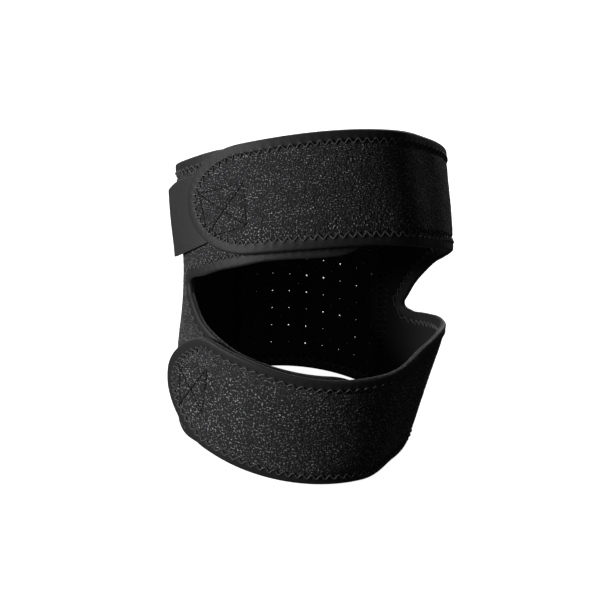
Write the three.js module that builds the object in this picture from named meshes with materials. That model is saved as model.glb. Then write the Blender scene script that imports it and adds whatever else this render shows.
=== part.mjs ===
// Knee strap of padded cloth, in millimetres, +Z up, kneecap side towards -Y, standing on its lower rim.
// A perforated back panel carries a left wing with two short arms and a right wing with two long straps.
// The straps pass round the front, above and below the kneecap, and lie on the arms.
// Hook patches lie between the straps' tabs and the left wing.
//
// Every place on the wrap is given by its turn, in degrees round the leg from the front towards +X,
// and its height, measured up the leg. The leg bends back above BEND_START.
import * as THREE from "three";
import { mergeVertices } from "three/addons/utils/BufferGeometryUtils.js";

// The space for the leg
const LEG_WIDTH = 119;
const LEG_DEPTH = 103;
const RIM_TAPER = 0.11;
const BEND_START = 60;
const BEND_LENGTH = 44;
const BEND_ANGLE = 30.5;

// Cloth, tape and the gap between neighbours
const CLOTH = 2.5;
const HEM_CLOTH = 1.3;
const HEM_WIDTH = 5.4;
const HEM_STEP = 1.6;
const TAPE = 0.4;
const TAPE_WIDTH = 4;
const HOOK = 0.7;
const CLEARANCE = 0.3;

// The wrap's outline
const WRAP_HEIGHT = 132;
const TOP_EDGE = { front: 0.035, oval: 0.02, side: -0.035 };
const STRAP_RISE = { most: 8.5, from: 20, to: -80 };
const ARM_TUCK = { most: 2, past: 30, over: 20 };
const ARM_RISE = { most: 3, past: 5, over: 20 };

// Seams beside the back panel: turn at SEAM_HEIGHT, and degrees of lean for each millimetre up
const SEAM_HEIGHT = 47;
const RIGHT_SEAM = { turn: 119.5, lean: 0.22 };
const LEFT_SEAM = { turn: 194, lean: 0.06 };
const SEAM_WIDTH = 4;
const SEAM_CLOTH = 1.5;
const SEAM_GAP = 0.5;
const LEAN_SPAN = 24;

// The straps: where the kneecap opening ends on the right, and where the tabs end
const NOTCH = { turn: 108 };
const UPPER_TAB = { end: -81, length: 29, curl: 0.4 };
const LOWER_TAB = { end: -93, length: 26, curl: 4 };
const CURL_SPAN = 34;
const NOTCH_EDGES = [
  { past: 0, upper: 0.361, lower: 0.361 },
  { past: 0.64, upper: 0.377, lower: 0.352 },
  { past: 2.56, upper: 0.403, lower: 0.347 },
  { past: 6, upper: 0.456, lower: 0.35 },
  { past: 10, upper: 0.51, lower: 0.357 },
  { past: 20, upper: 0.601, lower: 0.39 },
  { past: 36, upper: 0.654, lower: 0.44 },
  { past: 55, upper: 0.682, lower: 0.474 },
  { past: 78, upper: 0.707, lower: 0.464 },
  { past: 108, upper: 0.73, lower: 0.443 },
  { past: 138, upper: 0.732, lower: 0.451 },
  { past: 168, upper: 0.722, lower: 0.472 },
  { past: 183, upper: 0.712, lower: 0.478 },
  { past: 201, upper: 0.7, lower: 0.426 },
];

// The left wing's arms: where the kneecap opening ends on the left, and where the arms end
const CROOK = { turn: -98 };
const ARM_TAB = { end: 8, length: 24 };
const CROOK_EDGES = [
  { past: 0, upper: 0.593, lower: 0.593 },
  { past: 0.6, upper: 0.608, lower: 0.577 },
  { past: 2.5, upper: 0.62, lower: 0.559 },
  { past: 7, upper: 0.635, lower: 0.54 },
  { past: 17, upper: 0.652, lower: 0.5 },
  { past: 28, upper: 0.676, lower: 0.479 },
  { past: 40, upper: 0.693, lower: 0.462 },
  { past: 54, upper: 0.708, lower: 0.452 },
  { past: 80, upper: 0.712, lower: 0.44 },
  { past: 110, upper: 0.715, lower: 0.433 },
];

// Where the straps climb from the leg onto the arms
const CLIMB = { from: 34, to: 9 };

// Hook patches under the tabs, with low and high edges as shares of the wrap's height
const UPPER_PATCH = [
  { turn: -111, low: 0.669, high: 0.925 },
  { turn: -95, low: 0.705, high: 0.95 },
  { turn: -76, low: 0.745, high: 0.965 },
  { turn: -52, low: 0.79, high: 0.95 },
];
const UPPER_PATCH_CURL = 2.4;
const LOWER_PATCH = [
  { turn: -88, low: 0.19, high: 0.36 },
  { turn: -80, low: 0.185, high: 0.37 },
  { turn: -69, low: 0.18, high: 0.39 },
];

// Holes through the back panel
const HOLE = 1.5;
const HOLE_SIDES = 6;
const HOLE_STEP_ACROSS = 8.2;
const HOLE_STEP_UP = 9;

// Steps of the faceted surfaces
const COLUMN_STEP = 9.4;
const UPPER_ROWS = 3;
const LOWER_ROWS = 1;
const TAB_ANGLES = [12, 26, 39, 50, 60, 80];
const FORK_ROOTS = [0, 0.5, 1.3, 2.3, 3.2, 4, 4.8];
const MOST_MITRE = 1.25;
const MOST_STEEP = 1.6;
const MOST_HEM = 0.42;
const WEB_HEM = { line: 0.82, step: 0.94 };
const MERGE = 1e-4;

const BLACK = 0x141414;

// Distances that follow from the sizes above
const TAPE_PROUD = Math.max(HEM_CLOTH / 2 + CLEARANCE + TAPE - CLOTH / 2, 0);
const LAYER_LIFT = CLOTH + 2 * TAPE_PROUD + 2 * CLEARANCE + HOOK;
const PATCH_MIDDLE = CLOTH + TAPE_PROUD + CLEARANCE + HOOK / 2;
const RIM = CLEARANCE + TAPE;
const HEM = HEM_WIDTH + HEM_STEP;

const radians = THREE.MathUtils.degToRad;

function smooth(share) {
  return THREE.MathUtils.smoothstep(share, 0, 1);
}

// The point at a turn and height, out from the leg's skin.
function onLeg(turn, height, out) {
  const around = radians(turn);
  const curl = radians(BEND_ANGLE) / BEND_LENGTH;
  const bent = THREE.MathUtils.clamp(height - BEND_START, 0, BEND_LENGTH);
  const above = Math.max(height - BEND_START - BEND_LENGTH, 0);
  const tilt = curl * bent;
  const middle = BEND_START + BEND_LENGTH / 2;
  const narrow = 1 - RIM_TAPER * (Math.max(middle - height, 0) / middle) ** 2;
  const depth = ((LEG_DEPTH / 2) * narrow + out) * Math.cos(around);
  const width = ((LEG_WIDTH / 2) * narrow + out) * Math.sin(around);
  const back = (1 - Math.cos(tilt)) / curl + Math.sin(tilt) * above;
  const axis = Math.min(height, BEND_START) + Math.sin(tilt) / curl + Math.cos(tilt) * above;
  return new THREE.Vector3(width, back - depth * Math.cos(tilt), axis + depth * Math.sin(tilt));
}

// Millimetres for one degree of turn and for one millimetre of height, on the cloth's middle.
function scaleAt(turn, height) {
  const middle = CLOTH / 2;
  const low = onLeg(turn, height - 0.5, middle);
  const high = onLeg(turn, height + 0.5, middle);
  const left = onLeg(turn - 0.5, height, middle);
  const right = onLeg(turn + 0.5, height, middle);
  return { turn: left.distanceTo(right), height: low.distanceTo(high) };
}

// The place that lies a real distance across and up from another.
function shifted(place, across, up) {
  const scale = scaleAt(place.turn, place.height);
  const turn = place.turn + across / scale.turn;
  const near = scaleAt(turn, place.height + up / scale.height / 2);
  return { turn, height: place.height + up / near.height };
}

// A smooth line through a table's rows, at any value of its key column.
function follow(rows, key, column, at) {
  const last = rows.length - 1;
  let i = rows.findIndex((row) => row[key] > at) - 1;
  if (i < 0) i = at < rows[0][key] ? 0 : last - 1;
  const slope = (j) => {
    const a = rows[Math.max(j - 1, 0)];
    const b = rows[Math.min(j + 1, last)];
    return (b[column] - a[column]) / (b[key] - a[key]);
  };
  const from = rows[i];
  const to = rows[i + 1];
  const span = to[key] - from[key];
  const t = THREE.MathUtils.clamp((at - from[key]) / span, 0, 1);
  const bulge = t * (1 - t) * span;
  const ease = t * t * (3 - 2 * t);
  const line = from[column] + (to[column] - from[column]) * ease;
  return line + bulge * ((1 - t) * slope(i) - t * slope(i + 1));
}

// The same rows keyed by the square root of the way past the fork, which rounds the fork's end.
function rooted(rows) {
  return rows.map((row) => ({ ...row, root: Math.sqrt(row.past) }));
}

function topEdge(turn) {
  const around = radians(turn);
  const front = TOP_EDGE.front * Math.cos(around);
  const oval = TOP_EDGE.oval * Math.cos(2 * around);
  const side = TOP_EDGE.side * Math.sin(around);
  return WRAP_HEIGHT * (1 + front + oval + side);
}

// A change of height that eases in from a way past the fork
function easedAt(ease, past) {
  return ease.most * smooth((past - ease.past) / ease.over);
}

// How far the lower strap's lower edge stands above the floor
function strapRise(turn) {
  const share = (STRAP_RISE.from - turn) / (STRAP_RISE.from - STRAP_RISE.to);
  return STRAP_RISE.most * THREE.MathUtils.clamp(share, 0, 1) ** 2;
}

function climb(turn) {
  return smooth((CLIMB.from - turn) / (CLIMB.from - CLIMB.to));
}

// How far a tab's end stands off what it lies on
function curlAt(turn, tab) {
  return tab.curl * Math.max(1 - Math.max(turn - tab.end, 0) / CURL_SPAN, 0) ** 2;
}

// The middle of each sheet's cloth, out from the skin
function flatMiddle() {
  return CLOTH / 2;
}

function upperStrapMiddle(turn) {
  return CLOTH / 2 + LAYER_LIFT * climb(turn) + curlAt(turn, UPPER_TAB);
}

function lowerStrapMiddle(turn) {
  return CLOTH / 2 + LAYER_LIFT * climb(turn) + curlAt(turn, LOWER_TAB);
}

function upperPatchMiddle(turn) {
  const bare = (UPPER_TAB.end - turn) / (UPPER_TAB.end - UPPER_PATCH[0].turn);
  return PATCH_MIDDLE + curlAt(turn, UPPER_TAB) + UPPER_PATCH_CURL * Math.max(bare, 0) ** 2;
}

function lowerPatchMiddle(turn) {
  return PATCH_MIDDLE + curlAt(turn, LOWER_TAB);
}

// Height of a lower edge whose tape stands on the floor
function floorEdge(turn) {
  return RIM / scaleAt(turn, RIM / 2).height;
}

// Half a seam's width in degrees
function seamHalf(seam) {
  return SEAM_WIDTH / 2 / scaleAt(seam.turn, SEAM_HEIGHT).turn;
}

function seamTurn(seam, height) {
  return seam.turn + seam.lean * (height - SEAM_HEIGHT);
}

// Triangles gathered into one closed mesh
class Surface {
  constructor() {
    this.positions = [];
  }

  triangle(a, b, c) {
    this.positions.push(...a.toArray(), ...b.toArray(), ...c.toArray());
  }

  quad(a, b, c, d) {
    this.triangle(a, b, c);
    this.triangle(a, c, d);
  }

  geometry() {
    const made = new THREE.BufferGeometry();
    made.setAttribute("position", new THREE.Float32BufferAttribute(this.positions, 3));
    return mergeVertices(made, MERGE);
  }
}

// A place on a sheet with its two faces: the middle's distance from the skin and half the cloth.
function faces(place) {
  const { turn, height, middle, half } = place;
  return {
    outer: onLeg(turn, height, middle(turn) + half),
    inner: onLeg(turn, height, middle(turn) - half),
  };
}

// Both faces of a grid of places, its columns in the order of growing turn.
function addFaces(surface, columns) {
  const grid = columns.map((column) => column.map(faces));
  for (let c = 0; c + 1 < grid.length; c++) {
    for (let r = 0; r + 1 < grid[c].length; r++) {
      const [a, b, d, e] = [grid[c][r], grid[c + 1][r], grid[c + 1][r + 1], grid[c][r + 1]];
      surface.quad(a.outer, b.outer, d.outer, e.outer);
      surface.quad(a.inner, e.inner, d.inner, b.inner);
    }
  }
}

// The wall along an edge, with the cloth on the left of its direction seen from outside.
function addWall(surface, edge) {
  const walls = edge.map(faces);
  for (let i = 0; i + 1 < walls.length; i++) {
    const [a, b] = [walls[i], walls[i + 1]];
    surface.quad(a.outer, a.inner, b.inner, b.outer);
  }
}

function edgeOf(columns) {
  const first = columns[0];
  const last = columns[columns.length - 1];
  const low = columns.map((column) => column[0]);
  const high = columns.map((column) => column[column.length - 1]);
  return [...low, ...last.slice(1), ...high.reverse().slice(1), ...[...first].reverse().slice(1)];
}

function gridSheet(columns) {
  const surface = new Surface();
  addFaces(surface, columns);
  addWall(surface, edgeOf(columns));
  return surface.geometry();
}

// Half the cloth at a distance from the nearest bound edge
function halfCloth(fromEdge) {
  const share = THREE.MathUtils.clamp((fromEdge - HEM_WIDTH) / HEM_STEP, 0, 1);
  return THREE.MathUtils.lerp(HEM_CLOTH / 2, CLOTH / 2, share);
}

// Distance from the bound edge by rows from it: the edge, the hem's line and the full cloth
function fromBoundEdge(rows) {
  return [0, HEM_WIDTH, HEM][Math.min(rows, 2)];
}

// Rows between a low and a high edge: the hem and its step at both, and rows in the full cloth.
function rowsBetween(low, high, steepLow, steepHigh, count) {
  const scale = scaleAt(low.turn, (low.height + high.height) / 2).height;
  const most = (high.height - low.height) * scale * MOST_HEM;
  const rise = Math.min(HEM * steepLow, most);
  const drop = Math.min(HEM * steepHigh, most);
  const hemShare = HEM_WIDTH / HEM;
  const lowest = shifted(low, 0, rise);
  const highest = shifted(high, 0, -drop);
  const full = [];
  for (let i = 1; i <= count; i++) {
    const share = i / (count + 1);
    full.push({ turn: low.turn, height: THREE.MathUtils.lerp(lowest.height, highest.height, share) });
  }
  const lowHem = shifted(low, 0, rise * hemShare);
  const highHem = shifted(high, 0, -drop * hemShare);
  return [low, lowHem, lowest, ...full, highest, highHem, high];
}

// How far along an arm its columns stand: close at the fork, even, then close at the rounded tab.
function columnStops(length, tab) {
  const stops = FORK_ROOTS.map((root) => root * root);
  const start = stops[stops.length - 1];
  const straight = length - tab - start;
  const count = Math.max(Math.round(straight / COLUMN_STEP), 1);
  for (let i = 1; i <= count; i++) stops.push(start + (straight * i) / count);
  const most = Math.sin(radians(TAB_ANGLES[TAB_ANGLES.length - 1]));
  for (const angle of TAB_ANGLES)
    stops.push(length - tab + (tab * Math.sin(radians(angle))) / most);
  return stops;
}

// One arm or strap, from the fork to its rounded tab, as columns of places.
function armColumns(wing, arm) {
  const length = Math.abs(arm.tab.end - wing.fork.turn);
  const stops = columnStops(length, arm.tab.length);
  const tabStart = length - arm.tab.length;
  const edges = (past) => {
    const turn = wing.fork.turn + wing.way * past;
    const low = arm.low(turn, past);
    const high = arm.high(turn, past);
    const into = Math.max(past - tabStart, 0) / arm.tab.length;
    const most = Math.sin(radians(TAB_ANGLES[TAB_ANGLES.length - 1]));
    const share = Math.sqrt(1 - (into * most) ** 2);
    const centre = (low + high) / 2;
    return { turn, low: centre + (low - centre) * share, high: centre + (high - centre) * share };
  };
  return stops.map((past, i) => {
    const here = edges(past);
    const lean = leanAt(wing, past);
    const at = (height) => ({ turn: here.turn + lean * (height - SEAM_HEIGHT), height });
    const before = edges(stops[Math.max(i - 1, 0)]);
    const after = edges(stops[Math.min(i + 1, stops.length - 1)]);
    const scale = scaleAt(here.turn, (here.low + here.high) / 2);
    const run = Math.abs(after.turn - before.turn) * scale.turn;
    const slope = (edge) => ((after[edge] - before[edge]) * scale.height) / run;
    const steep = (edge) => Math.min(Math.hypot(1, slope(edge)), MOST_STEEP);
    const rows = rowsBetween(at(here.low), at(here.high), steep("low"), steep("high"), arm.rows);
    const fromEnd = (length - past) * scale.turn;
    return rows.map((place, row) => {
      const fromSide = fromBoundEdge(Math.min(row, rows.length - 1 - row));
      const half = halfCloth(Math.min(fromSide, fromEnd));
      return { ...at(place.height), middle: arm.middle, half };
    });
  });
}

// The seam's lean carries on past the fork and fades out.
function leanAt(wing, past) {
  return wing.seam.lean * Math.max(1 - past / LEAN_SPAN, 0);
}

// The cloth between the seam and the fork, as columns that end on the two arms' first columns.
function webColumns(wing, lower, upper) {
  const fork = [...lower[0], ...upper[0].slice(1)];
  const tip = fork[lower[0].length - 1];
  const scale = scaleAt(tip.turn, tip.height).turn;
  const room = Math.abs(wing.fork.turn - wing.seamEdge) * scale;
  const hem = Math.min(HEM_WIDTH, room * WEB_HEM.line);
  const first = Math.min(HEM, room * WEB_HEM.step);
  const stops = [hem, first];
  const count = Math.floor((room - first) / (COLUMN_STEP * scale));
  for (let i = 1; i <= count; i++) stops.push(first + ((room - first) * i) / (count + 1));
  stops.push(room);
  const tipRow = lower[0].length - 1;
  const columns = stops.map((away, i) => {
    const back = away / scale;
    const turn = wing.fork.turn - wing.way * back;
    const at = (height) => ({ turn: turn + wing.seam.lean * (height - SEAM_HEIGHT), height });
    const low = at(floorEdge(turn));
    const high = at(topEdge(turn));
    const middle = at(tip.height);
    const steep = i > 0 ? 1 : MOST_STEEP;
    const below = rowsBetween(low, middle, 1, steep, LOWER_ROWS);
    const above = rowsBetween(middle, high, steep, 1, UPPER_ROWS);
    const rows = [...below, ...above.slice(1)];
    return rows.map((place, row) => {
      const fromSide = fromBoundEdge(Math.min(row, rows.length - 1 - row));
      const fromTip = i > 0 ? HEM : fromBoundEdge(Math.abs(row - tipRow));
      return { ...at(place.height), middle: flatMiddle, half: halfCloth(Math.min(fromSide, fromTip)) };
    });
  });
  return { columns, fork };
}

// A wing: web and two arms in one sheet, with the path of the tape round its bound edge.
function makeWing(wing) {
  const lower = armColumns(wing, wing.lower);
  const upper = armColumns(wing, wing.upper);
  const { columns, fork } = webColumns(wing, lower, upper);
  const web = [fork, ...columns];
  const seam = web[web.length - 1];
  const bound = [
    ...web.map((column) => column[0]).reverse(),
    ...lower.slice(1).map((column) => column[0]),
    ...lower[lower.length - 1].slice(1),
    ...lower.slice(0, -1).reverse().map((column) => column[column.length - 1]),
    ...upper.slice(1).map((column) => column[0]),
    ...upper[upper.length - 1].slice(1),
    ...upper.slice(0, -1).reverse().map((column) => column[column.length - 1]),
    ...web.slice(1).map((column) => column[column.length - 1]),
  ];
  const surface = new Surface();
  const forward = wing.way > 0;
  const inOrder = (list) => (forward ? list : [...list].reverse());
  addFaces(surface, inOrder(lower));
  addFaces(surface, inOrder(upper));
  addFaces(surface, inOrder([...web].reverse()));
  addWall(surface, forward ? bound : [...bound].reverse());
  addWall(surface, forward ? [...seam].reverse() : seam);
  return { geometry: surface.geometry(), bound };
}

// The tape's section: distance past the cloth's edge, and distance from the cloth's middle.
function tapeSection() {
  const inside = HEM_CLOTH / 2 + CLEARANCE;
  const outside = inside + TAPE;
  const corners = [
    [-TAPE_WIDTH, outside],
    [RIM, outside],
    [RIM, -outside],
    [-TAPE_WIDTH, -outside],
    [-TAPE_WIDTH, -inside],
    [CLEARANCE, -inside],
    [CLEARANCE, inside],
    [-TAPE_WIDTH, inside],
  ];
  return corners.map(([past, rise]) => new THREE.Vector2(past, rise));
}

// The way out of the cloth, across its edge, at each place of a path with the cloth on its left.
function outwards(path) {
  return path.map((place, i) => {
    const scale = scaleAt(place.turn, place.height);
    const step = (from, to) => {
      const across = (to.turn - from.turn) * scale.turn;
      return new THREE.Vector2(across, (to.height - from.height) * scale.height).normalize();
    };
    const into = i > 0 ? step(path[i - 1], place) : step(place, path[i + 1]);
    const away = i + 1 < path.length ? step(place, path[i + 1]) : into;
    const along = into.clone().add(away).normalize();
    const mitre = Math.min(1 / along.dot(away), MOST_MITRE);
    return new THREE.Vector2(along.y, -along.x).multiplyScalar(mitre);
  });
}

// Tape folded over the edge that a path follows, with the cloth on the path's left.
function makeBinding(path) {
  const section = tapeSection();
  const ways = outwards(path);
  const rings = path.map((place, i) =>
    section.map((corner) => {
      const moved = shifted(place, ways[i].x * corner.x, ways[i].y * corner.x);
      return onLeg(moved.turn, moved.height, place.middle(moved.turn) + corner.y);
    }),
  );
  const surface = new Surface();
  for (let i = 0; i + 1 < rings.length; i++) {
    for (let k = 0; k < section.length; k++) {
      const next = (k + 1) % section.length;
      surface.quad(rings[i][k], rings[i][next], rings[i + 1][next], rings[i + 1][k]);
    }
  }
  const end = rings[rings.length - 1];
  for (const [a, b, c] of THREE.ShapeUtils.triangulateShape(section, [])) {
    surface.triangle(rings[0][a], rings[0][b], rings[0][c]);
    surface.triangle(end[a], end[c], end[b]);
  }
  return surface.geometry();
}

// Height up the leg at a real length up the middle of the back, where the bend shortens the cloth.
function backHeight(length) {
  const curl = radians(BEND_ANGLE) / BEND_LENGTH;
  const short = 1 - curl * (LEG_DEPTH / 2);
  const bent = THREE.MathUtils.clamp((length - BEND_START) / short, 0, BEND_LENGTH);
  const straight = Math.max(length - BEND_START - BEND_LENGTH * short, 0);
  return Math.min(length, BEND_START) + bent + straight;
}

function backLength(height) {
  const curl = radians(BEND_ANGLE) / BEND_LENGTH;
  const short = 1 - curl * (LEG_DEPTH / 2);
  const bent = THREE.MathUtils.clamp(height - BEND_START, 0, BEND_LENGTH);
  return Math.min(height, BEND_START) + bent * short + Math.max(height - BEND_START - BEND_LENGTH, 0);
}

// The panel's size laid flat, and the lattice of holes that fills it between its hems
const PANEL_MIDDLE = (RIGHT_SEAM.turn + LEFT_SEAM.turn) / 2;
const PANEL_LENGTH = backLength(topEdge(PANEL_MIDDLE)) - floorEdge(PANEL_MIDDLE);
const PANEL_WIDTH = (LEFT_SEAM.turn - RIGHT_SEAM.turn) * scaleAt(PANEL_MIDDLE, SEAM_HEIGHT).turn - SEAM_WIDTH;
const HOLES_ACROSS = Math.max(Math.floor(PANEL_WIDTH / HOLE_STEP_ACROSS), 1);
const HOLES_UP = Math.max(Math.floor((PANEL_LENGTH - 2 * HEM) / HOLE_STEP_UP), 1);

// The panel's place at a distance across it and up it from its lower right corner
function panelPlace(across, up) {
  const share = across / PANEL_WIDTH;
  const top = backLength(topEdge(THREE.MathUtils.lerp(RIGHT_SEAM.turn, LEFT_SEAM.turn, share)));
  const floor = floorEdge(PANEL_MIDDLE);
  const height = backHeight(floor + (up / PANEL_LENGTH) * (top - floor));
  const right = seamTurn(RIGHT_SEAM, height) + seamHalf(RIGHT_SEAM);
  const left = seamTurn(LEFT_SEAM, height) - seamHalf(LEFT_SEAM);
  const fromEdge = Math.min(up, PANEL_LENGTH - up);
  const turn = THREE.MathUtils.lerp(right, left, share);
  return { turn, height, middle: flatMiddle, half: halfCloth(fromEdge) };
}

// Lines of equal cells, centred in a size, with the size's own ends
function cellLines(size, cells, step) {
  const margin = (size - cells * step) / 2;
  const lines = [0];
  for (let i = 0; i <= cells; i++) lines.push(margin + i * step);
  return [...lines, size];
}

// Lines up the panel: the hems, and the cells with a line through their middles
function panelRows() {
  const cells = cellLines(PANEL_LENGTH, HOLES_UP, HOLE_STEP_UP);
  const rows = [0, HEM_WIDTH];
  for (let i = 1; i + 1 < cells.length; i++) {
    rows.push(cells[i]);
    if (i + 2 < cells.length) rows.push((cells[i] + cells[i + 1]) / 2);
  }
  return [...rows, PANEL_LENGTH - HEM_WIDTH, PANEL_LENGTH];
}

// A cell of the lattice with a hole through its middle, as triangles of its corners and the hole's.
function addPiercedCell(surface, x0, x1, y0, y1) {
  const y = (y0 + y1) / 2;
  const around = [[x0, y0], [x1, y0], [x1, y], [x1, y1], [x0, y1], [x0, y]];
  const corners = around.map((flat) => new THREE.Vector2(...flat));
  const hole = [];
  for (let i = 0; i < HOLE_SIDES; i++) {
    const angle = (-2 * Math.PI * i) / HOLE_SIDES;
    const x = (x0 + x1) / 2 + (HOLE / 2) * Math.cos(angle);
    hole.push(new THREE.Vector2(x, y + (HOLE / 2) * Math.sin(angle)));
  }
  const places = [...corners, ...hole].map((flat) => faces(panelPlace(flat.x, flat.y)));
  for (const [a, b, c] of THREE.ShapeUtils.triangulateShape(corners, [hole])) {
    surface.triangle(places[a].outer, places[b].outer, places[c].outer);
    surface.triangle(places[a].inner, places[c].inner, places[b].inner);
  }
  const ring = places.slice(corners.length);
  for (let i = 0; i < ring.length; i++) {
    const next = ring[(i + 1) % ring.length];
    surface.quad(ring[i].outer, ring[i].inner, next.inner, next.outer);
  }
}

function makePanel() {
  const xs = cellLines(PANEL_WIDTH, HOLES_ACROSS, HOLE_STEP_ACROSS);
  const ys = panelRows();
  const columns = xs.map((x) => ys.map((y) => panelPlace(x, y)));
  const surface = new Surface();
  for (let i = 0; i + 1 < xs.length; i++) {
    const atSide = i === 0 || i + 2 === xs.length;
    const firstCell = 2;
    const lastCell = 2 + 2 * HOLES_UP;
    const strip = (from, to) => [columns[i].slice(from, to + 1), columns[i + 1].slice(from, to + 1)];
    if (atSide) {
      addFaces(surface, strip(0, ys.length - 1));
      continue;
    }
    addFaces(surface, strip(0, firstCell));
    addFaces(surface, strip(lastCell, ys.length - 1));
    for (let j = firstCell; j < lastCell; j += 2) addPiercedCell(surface, xs[i], xs[i + 1], ys[j], ys[j + 2]);
  }
  addWall(surface, edgeOf(columns));
  return surface.geometry();
}

// The strip that joins the panel to a wing, a little lower than both
function makeSeamStrip(seam) {
  const reach = seamHalf(seam) * (1 - SEAM_GAP / (SEAM_WIDTH / 2));
  const beside = seam === RIGHT_SEAM ? 0 : PANEL_WIDTH;
  const columns = [-reach, reach].map((across) =>
    panelRows().map((up) => {
      const { height } = panelPlace(beside, up);
      return { turn: seamTurn(seam, height) + across, height, middle: flatMiddle, half: SEAM_CLOTH / 2 };
    }),
  );
  return gridSheet(columns);
}

// Tape over the panel's lower or upper edge, from wing to wing and over the ends of the seam strips
function makePanelBinding(up) {
  const xs = cellLines(PANEL_WIDTH, HOLES_ACROSS, HOLE_STEP_ACROSS);
  const places = xs.map((x) => panelPlace(x, up));
  const over = 2 - CLEARANCE / (SEAM_WIDTH / 2);
  const first = places[0];
  const last = places[places.length - 1];
  places.unshift({ ...first, turn: first.turn - over * seamHalf(RIGHT_SEAM) });
  places.push({ ...last, turn: last.turn + over * seamHalf(LEFT_SEAM) });
  return makeBinding(up > 0 ? places.reverse() : places);
}

function makePatch(rows, middle) {
  const first = rows[0].turn;
  const last = rows[rows.length - 1].turn;
  const count = Math.ceil((last - first) / (COLUMN_STEP / 2));
  const columns = [];
  for (let i = 0; i <= count; i++) {
    const turn = THREE.MathUtils.lerp(first, last, i / count);
    const low = WRAP_HEIGHT * follow(rows, "turn", "low", turn);
    const high = WRAP_HEIGHT * follow(rows, "turn", "high", turn);
    const shares = [0, 1 / 3, 2 / 3, 1];
    columns.push(
      shares.map((share) => ({
        turn,
        height: THREE.MathUtils.lerp(low, high, share),
        middle,
        half: HOOK / 2,
      })),
    );
  }
  return gridSheet(columns);
}

// The right wing runs forwards from its seam, against the turn; the left wing runs with it.
const notchRows = rooted(NOTCH_EDGES);
const crookRows = rooted(CROOK_EDGES);
const edgeAt = (rows, column, past) => WRAP_HEIGHT * follow(rows, "root", column, Math.sqrt(past));

const rightWing = {
  way: -1,
  seam: RIGHT_SEAM,
  seamEdge: RIGHT_SEAM.turn - seamHalf(RIGHT_SEAM),
  fork: NOTCH,
  lower: {
    rows: LOWER_ROWS,
    tab: LOWER_TAB,
    low: (turn) => floorEdge(turn) + strapRise(turn),
    high: (turn, past) => edgeAt(notchRows, "lower", past),
    middle: lowerStrapMiddle,
  },
  upper: {
    rows: UPPER_ROWS,
    tab: UPPER_TAB,
    low: (turn, past) => edgeAt(notchRows, "upper", past),
    high: (turn) => topEdge(turn),
    middle: upperStrapMiddle,
  },
};

const leftWing = {
  way: 1,
  seam: LEFT_SEAM,
  seamEdge: LEFT_SEAM.turn - 360 + seamHalf(LEFT_SEAM),
  fork: CROOK,
  lower: {
    rows: LOWER_ROWS,
    tab: ARM_TAB,
    low: (turn, past) => floorEdge(turn) + easedAt(ARM_RISE, past),
    high: (turn, past) => edgeAt(crookRows, "lower", past),
    middle: flatMiddle,
  },
  upper: {
    rows: UPPER_ROWS,
    tab: ARM_TAB,
    low: (turn, past) => edgeAt(crookRows, "upper", past),
    high: (turn, past) => topEdge(turn) - easedAt(ARM_TUCK, past),
    middle: flatMiddle,
  },
};

const wrap = new THREE.Group();

function add(name, geometry, roughness) {
  const material = new THREE.MeshStandardMaterial({ color: BLACK, roughness, metalness: 0 });
  const mesh = new THREE.Mesh(geometry, material);
  mesh.name = name;
  wrap.add(mesh);
}

const straps = makeWing(rightWing);
const arms = makeWing(leftWing);
add("right_wing_straps", straps.geometry, 0.95);
add("left_wing", arms.geometry, 0.95);
add("back_panel", makePanel(), 0.9);
add("right_seam_strip", makeSeamStrip(RIGHT_SEAM), 0.8);
add("left_seam_strip", makeSeamStrip(LEFT_SEAM), 0.8);
add("strap_binding", makeBinding([...straps.bound].reverse()), 0.7);
add("left_wing_binding", makeBinding(arms.bound), 0.7);
add("panel_lower_binding", makePanelBinding(0), 0.7);
add("panel_upper_binding", makePanelBinding(PANEL_LENGTH), 0.7);
add("upper_hook_patch", makePatch(UPPER_PATCH, upperPatchMiddle), 0.6);
add("lower_hook_patch", makePatch(LOWER_PATCH, lowerPatchMiddle), 0.6);

// The origin is on the floor under the middle of the whole wrap.
const box = new THREE.Box3().setFromObject(wrap);
const centre = box.getCenter(new THREE.Vector3());
wrap.position.set(-centre.x, -centre.y, -box.min.z);

export default wrap;
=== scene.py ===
"""Looks of the patella strap: loop cloth, folded tape, thread, the pierced panel, and the stage."""

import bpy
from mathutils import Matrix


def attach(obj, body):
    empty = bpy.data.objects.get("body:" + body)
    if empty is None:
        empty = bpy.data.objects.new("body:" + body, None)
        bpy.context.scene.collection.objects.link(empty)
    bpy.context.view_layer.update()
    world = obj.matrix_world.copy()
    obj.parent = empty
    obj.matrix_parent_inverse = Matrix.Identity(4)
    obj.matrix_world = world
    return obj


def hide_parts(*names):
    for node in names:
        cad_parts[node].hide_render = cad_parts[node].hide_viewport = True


bl_info = {
    "name": "Patella strap",
    "version": (1, 0, 0),
    "blender": (4, 5, 0),
    "location": "View3D > Sidebar > Strap",
    "description": "Builds the cloth, tape, stitches and stage of a wrap-round knee strap",
    "category": "Object",
}

import math

import bmesh
import bpy
import numpy as np
from bpy.props import FloatProperty, FloatVectorProperty, PointerProperty
from mathutils import Matrix, Vector
from mathutils.kdtree import KDTree

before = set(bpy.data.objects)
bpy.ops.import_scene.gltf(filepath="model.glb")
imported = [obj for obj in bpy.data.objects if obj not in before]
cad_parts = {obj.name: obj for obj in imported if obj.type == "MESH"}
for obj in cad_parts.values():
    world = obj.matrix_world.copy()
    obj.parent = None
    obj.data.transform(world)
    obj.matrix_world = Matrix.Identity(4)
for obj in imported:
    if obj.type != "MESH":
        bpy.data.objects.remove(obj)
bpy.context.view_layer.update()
ROOT = "root"
MM = 0.001

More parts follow.
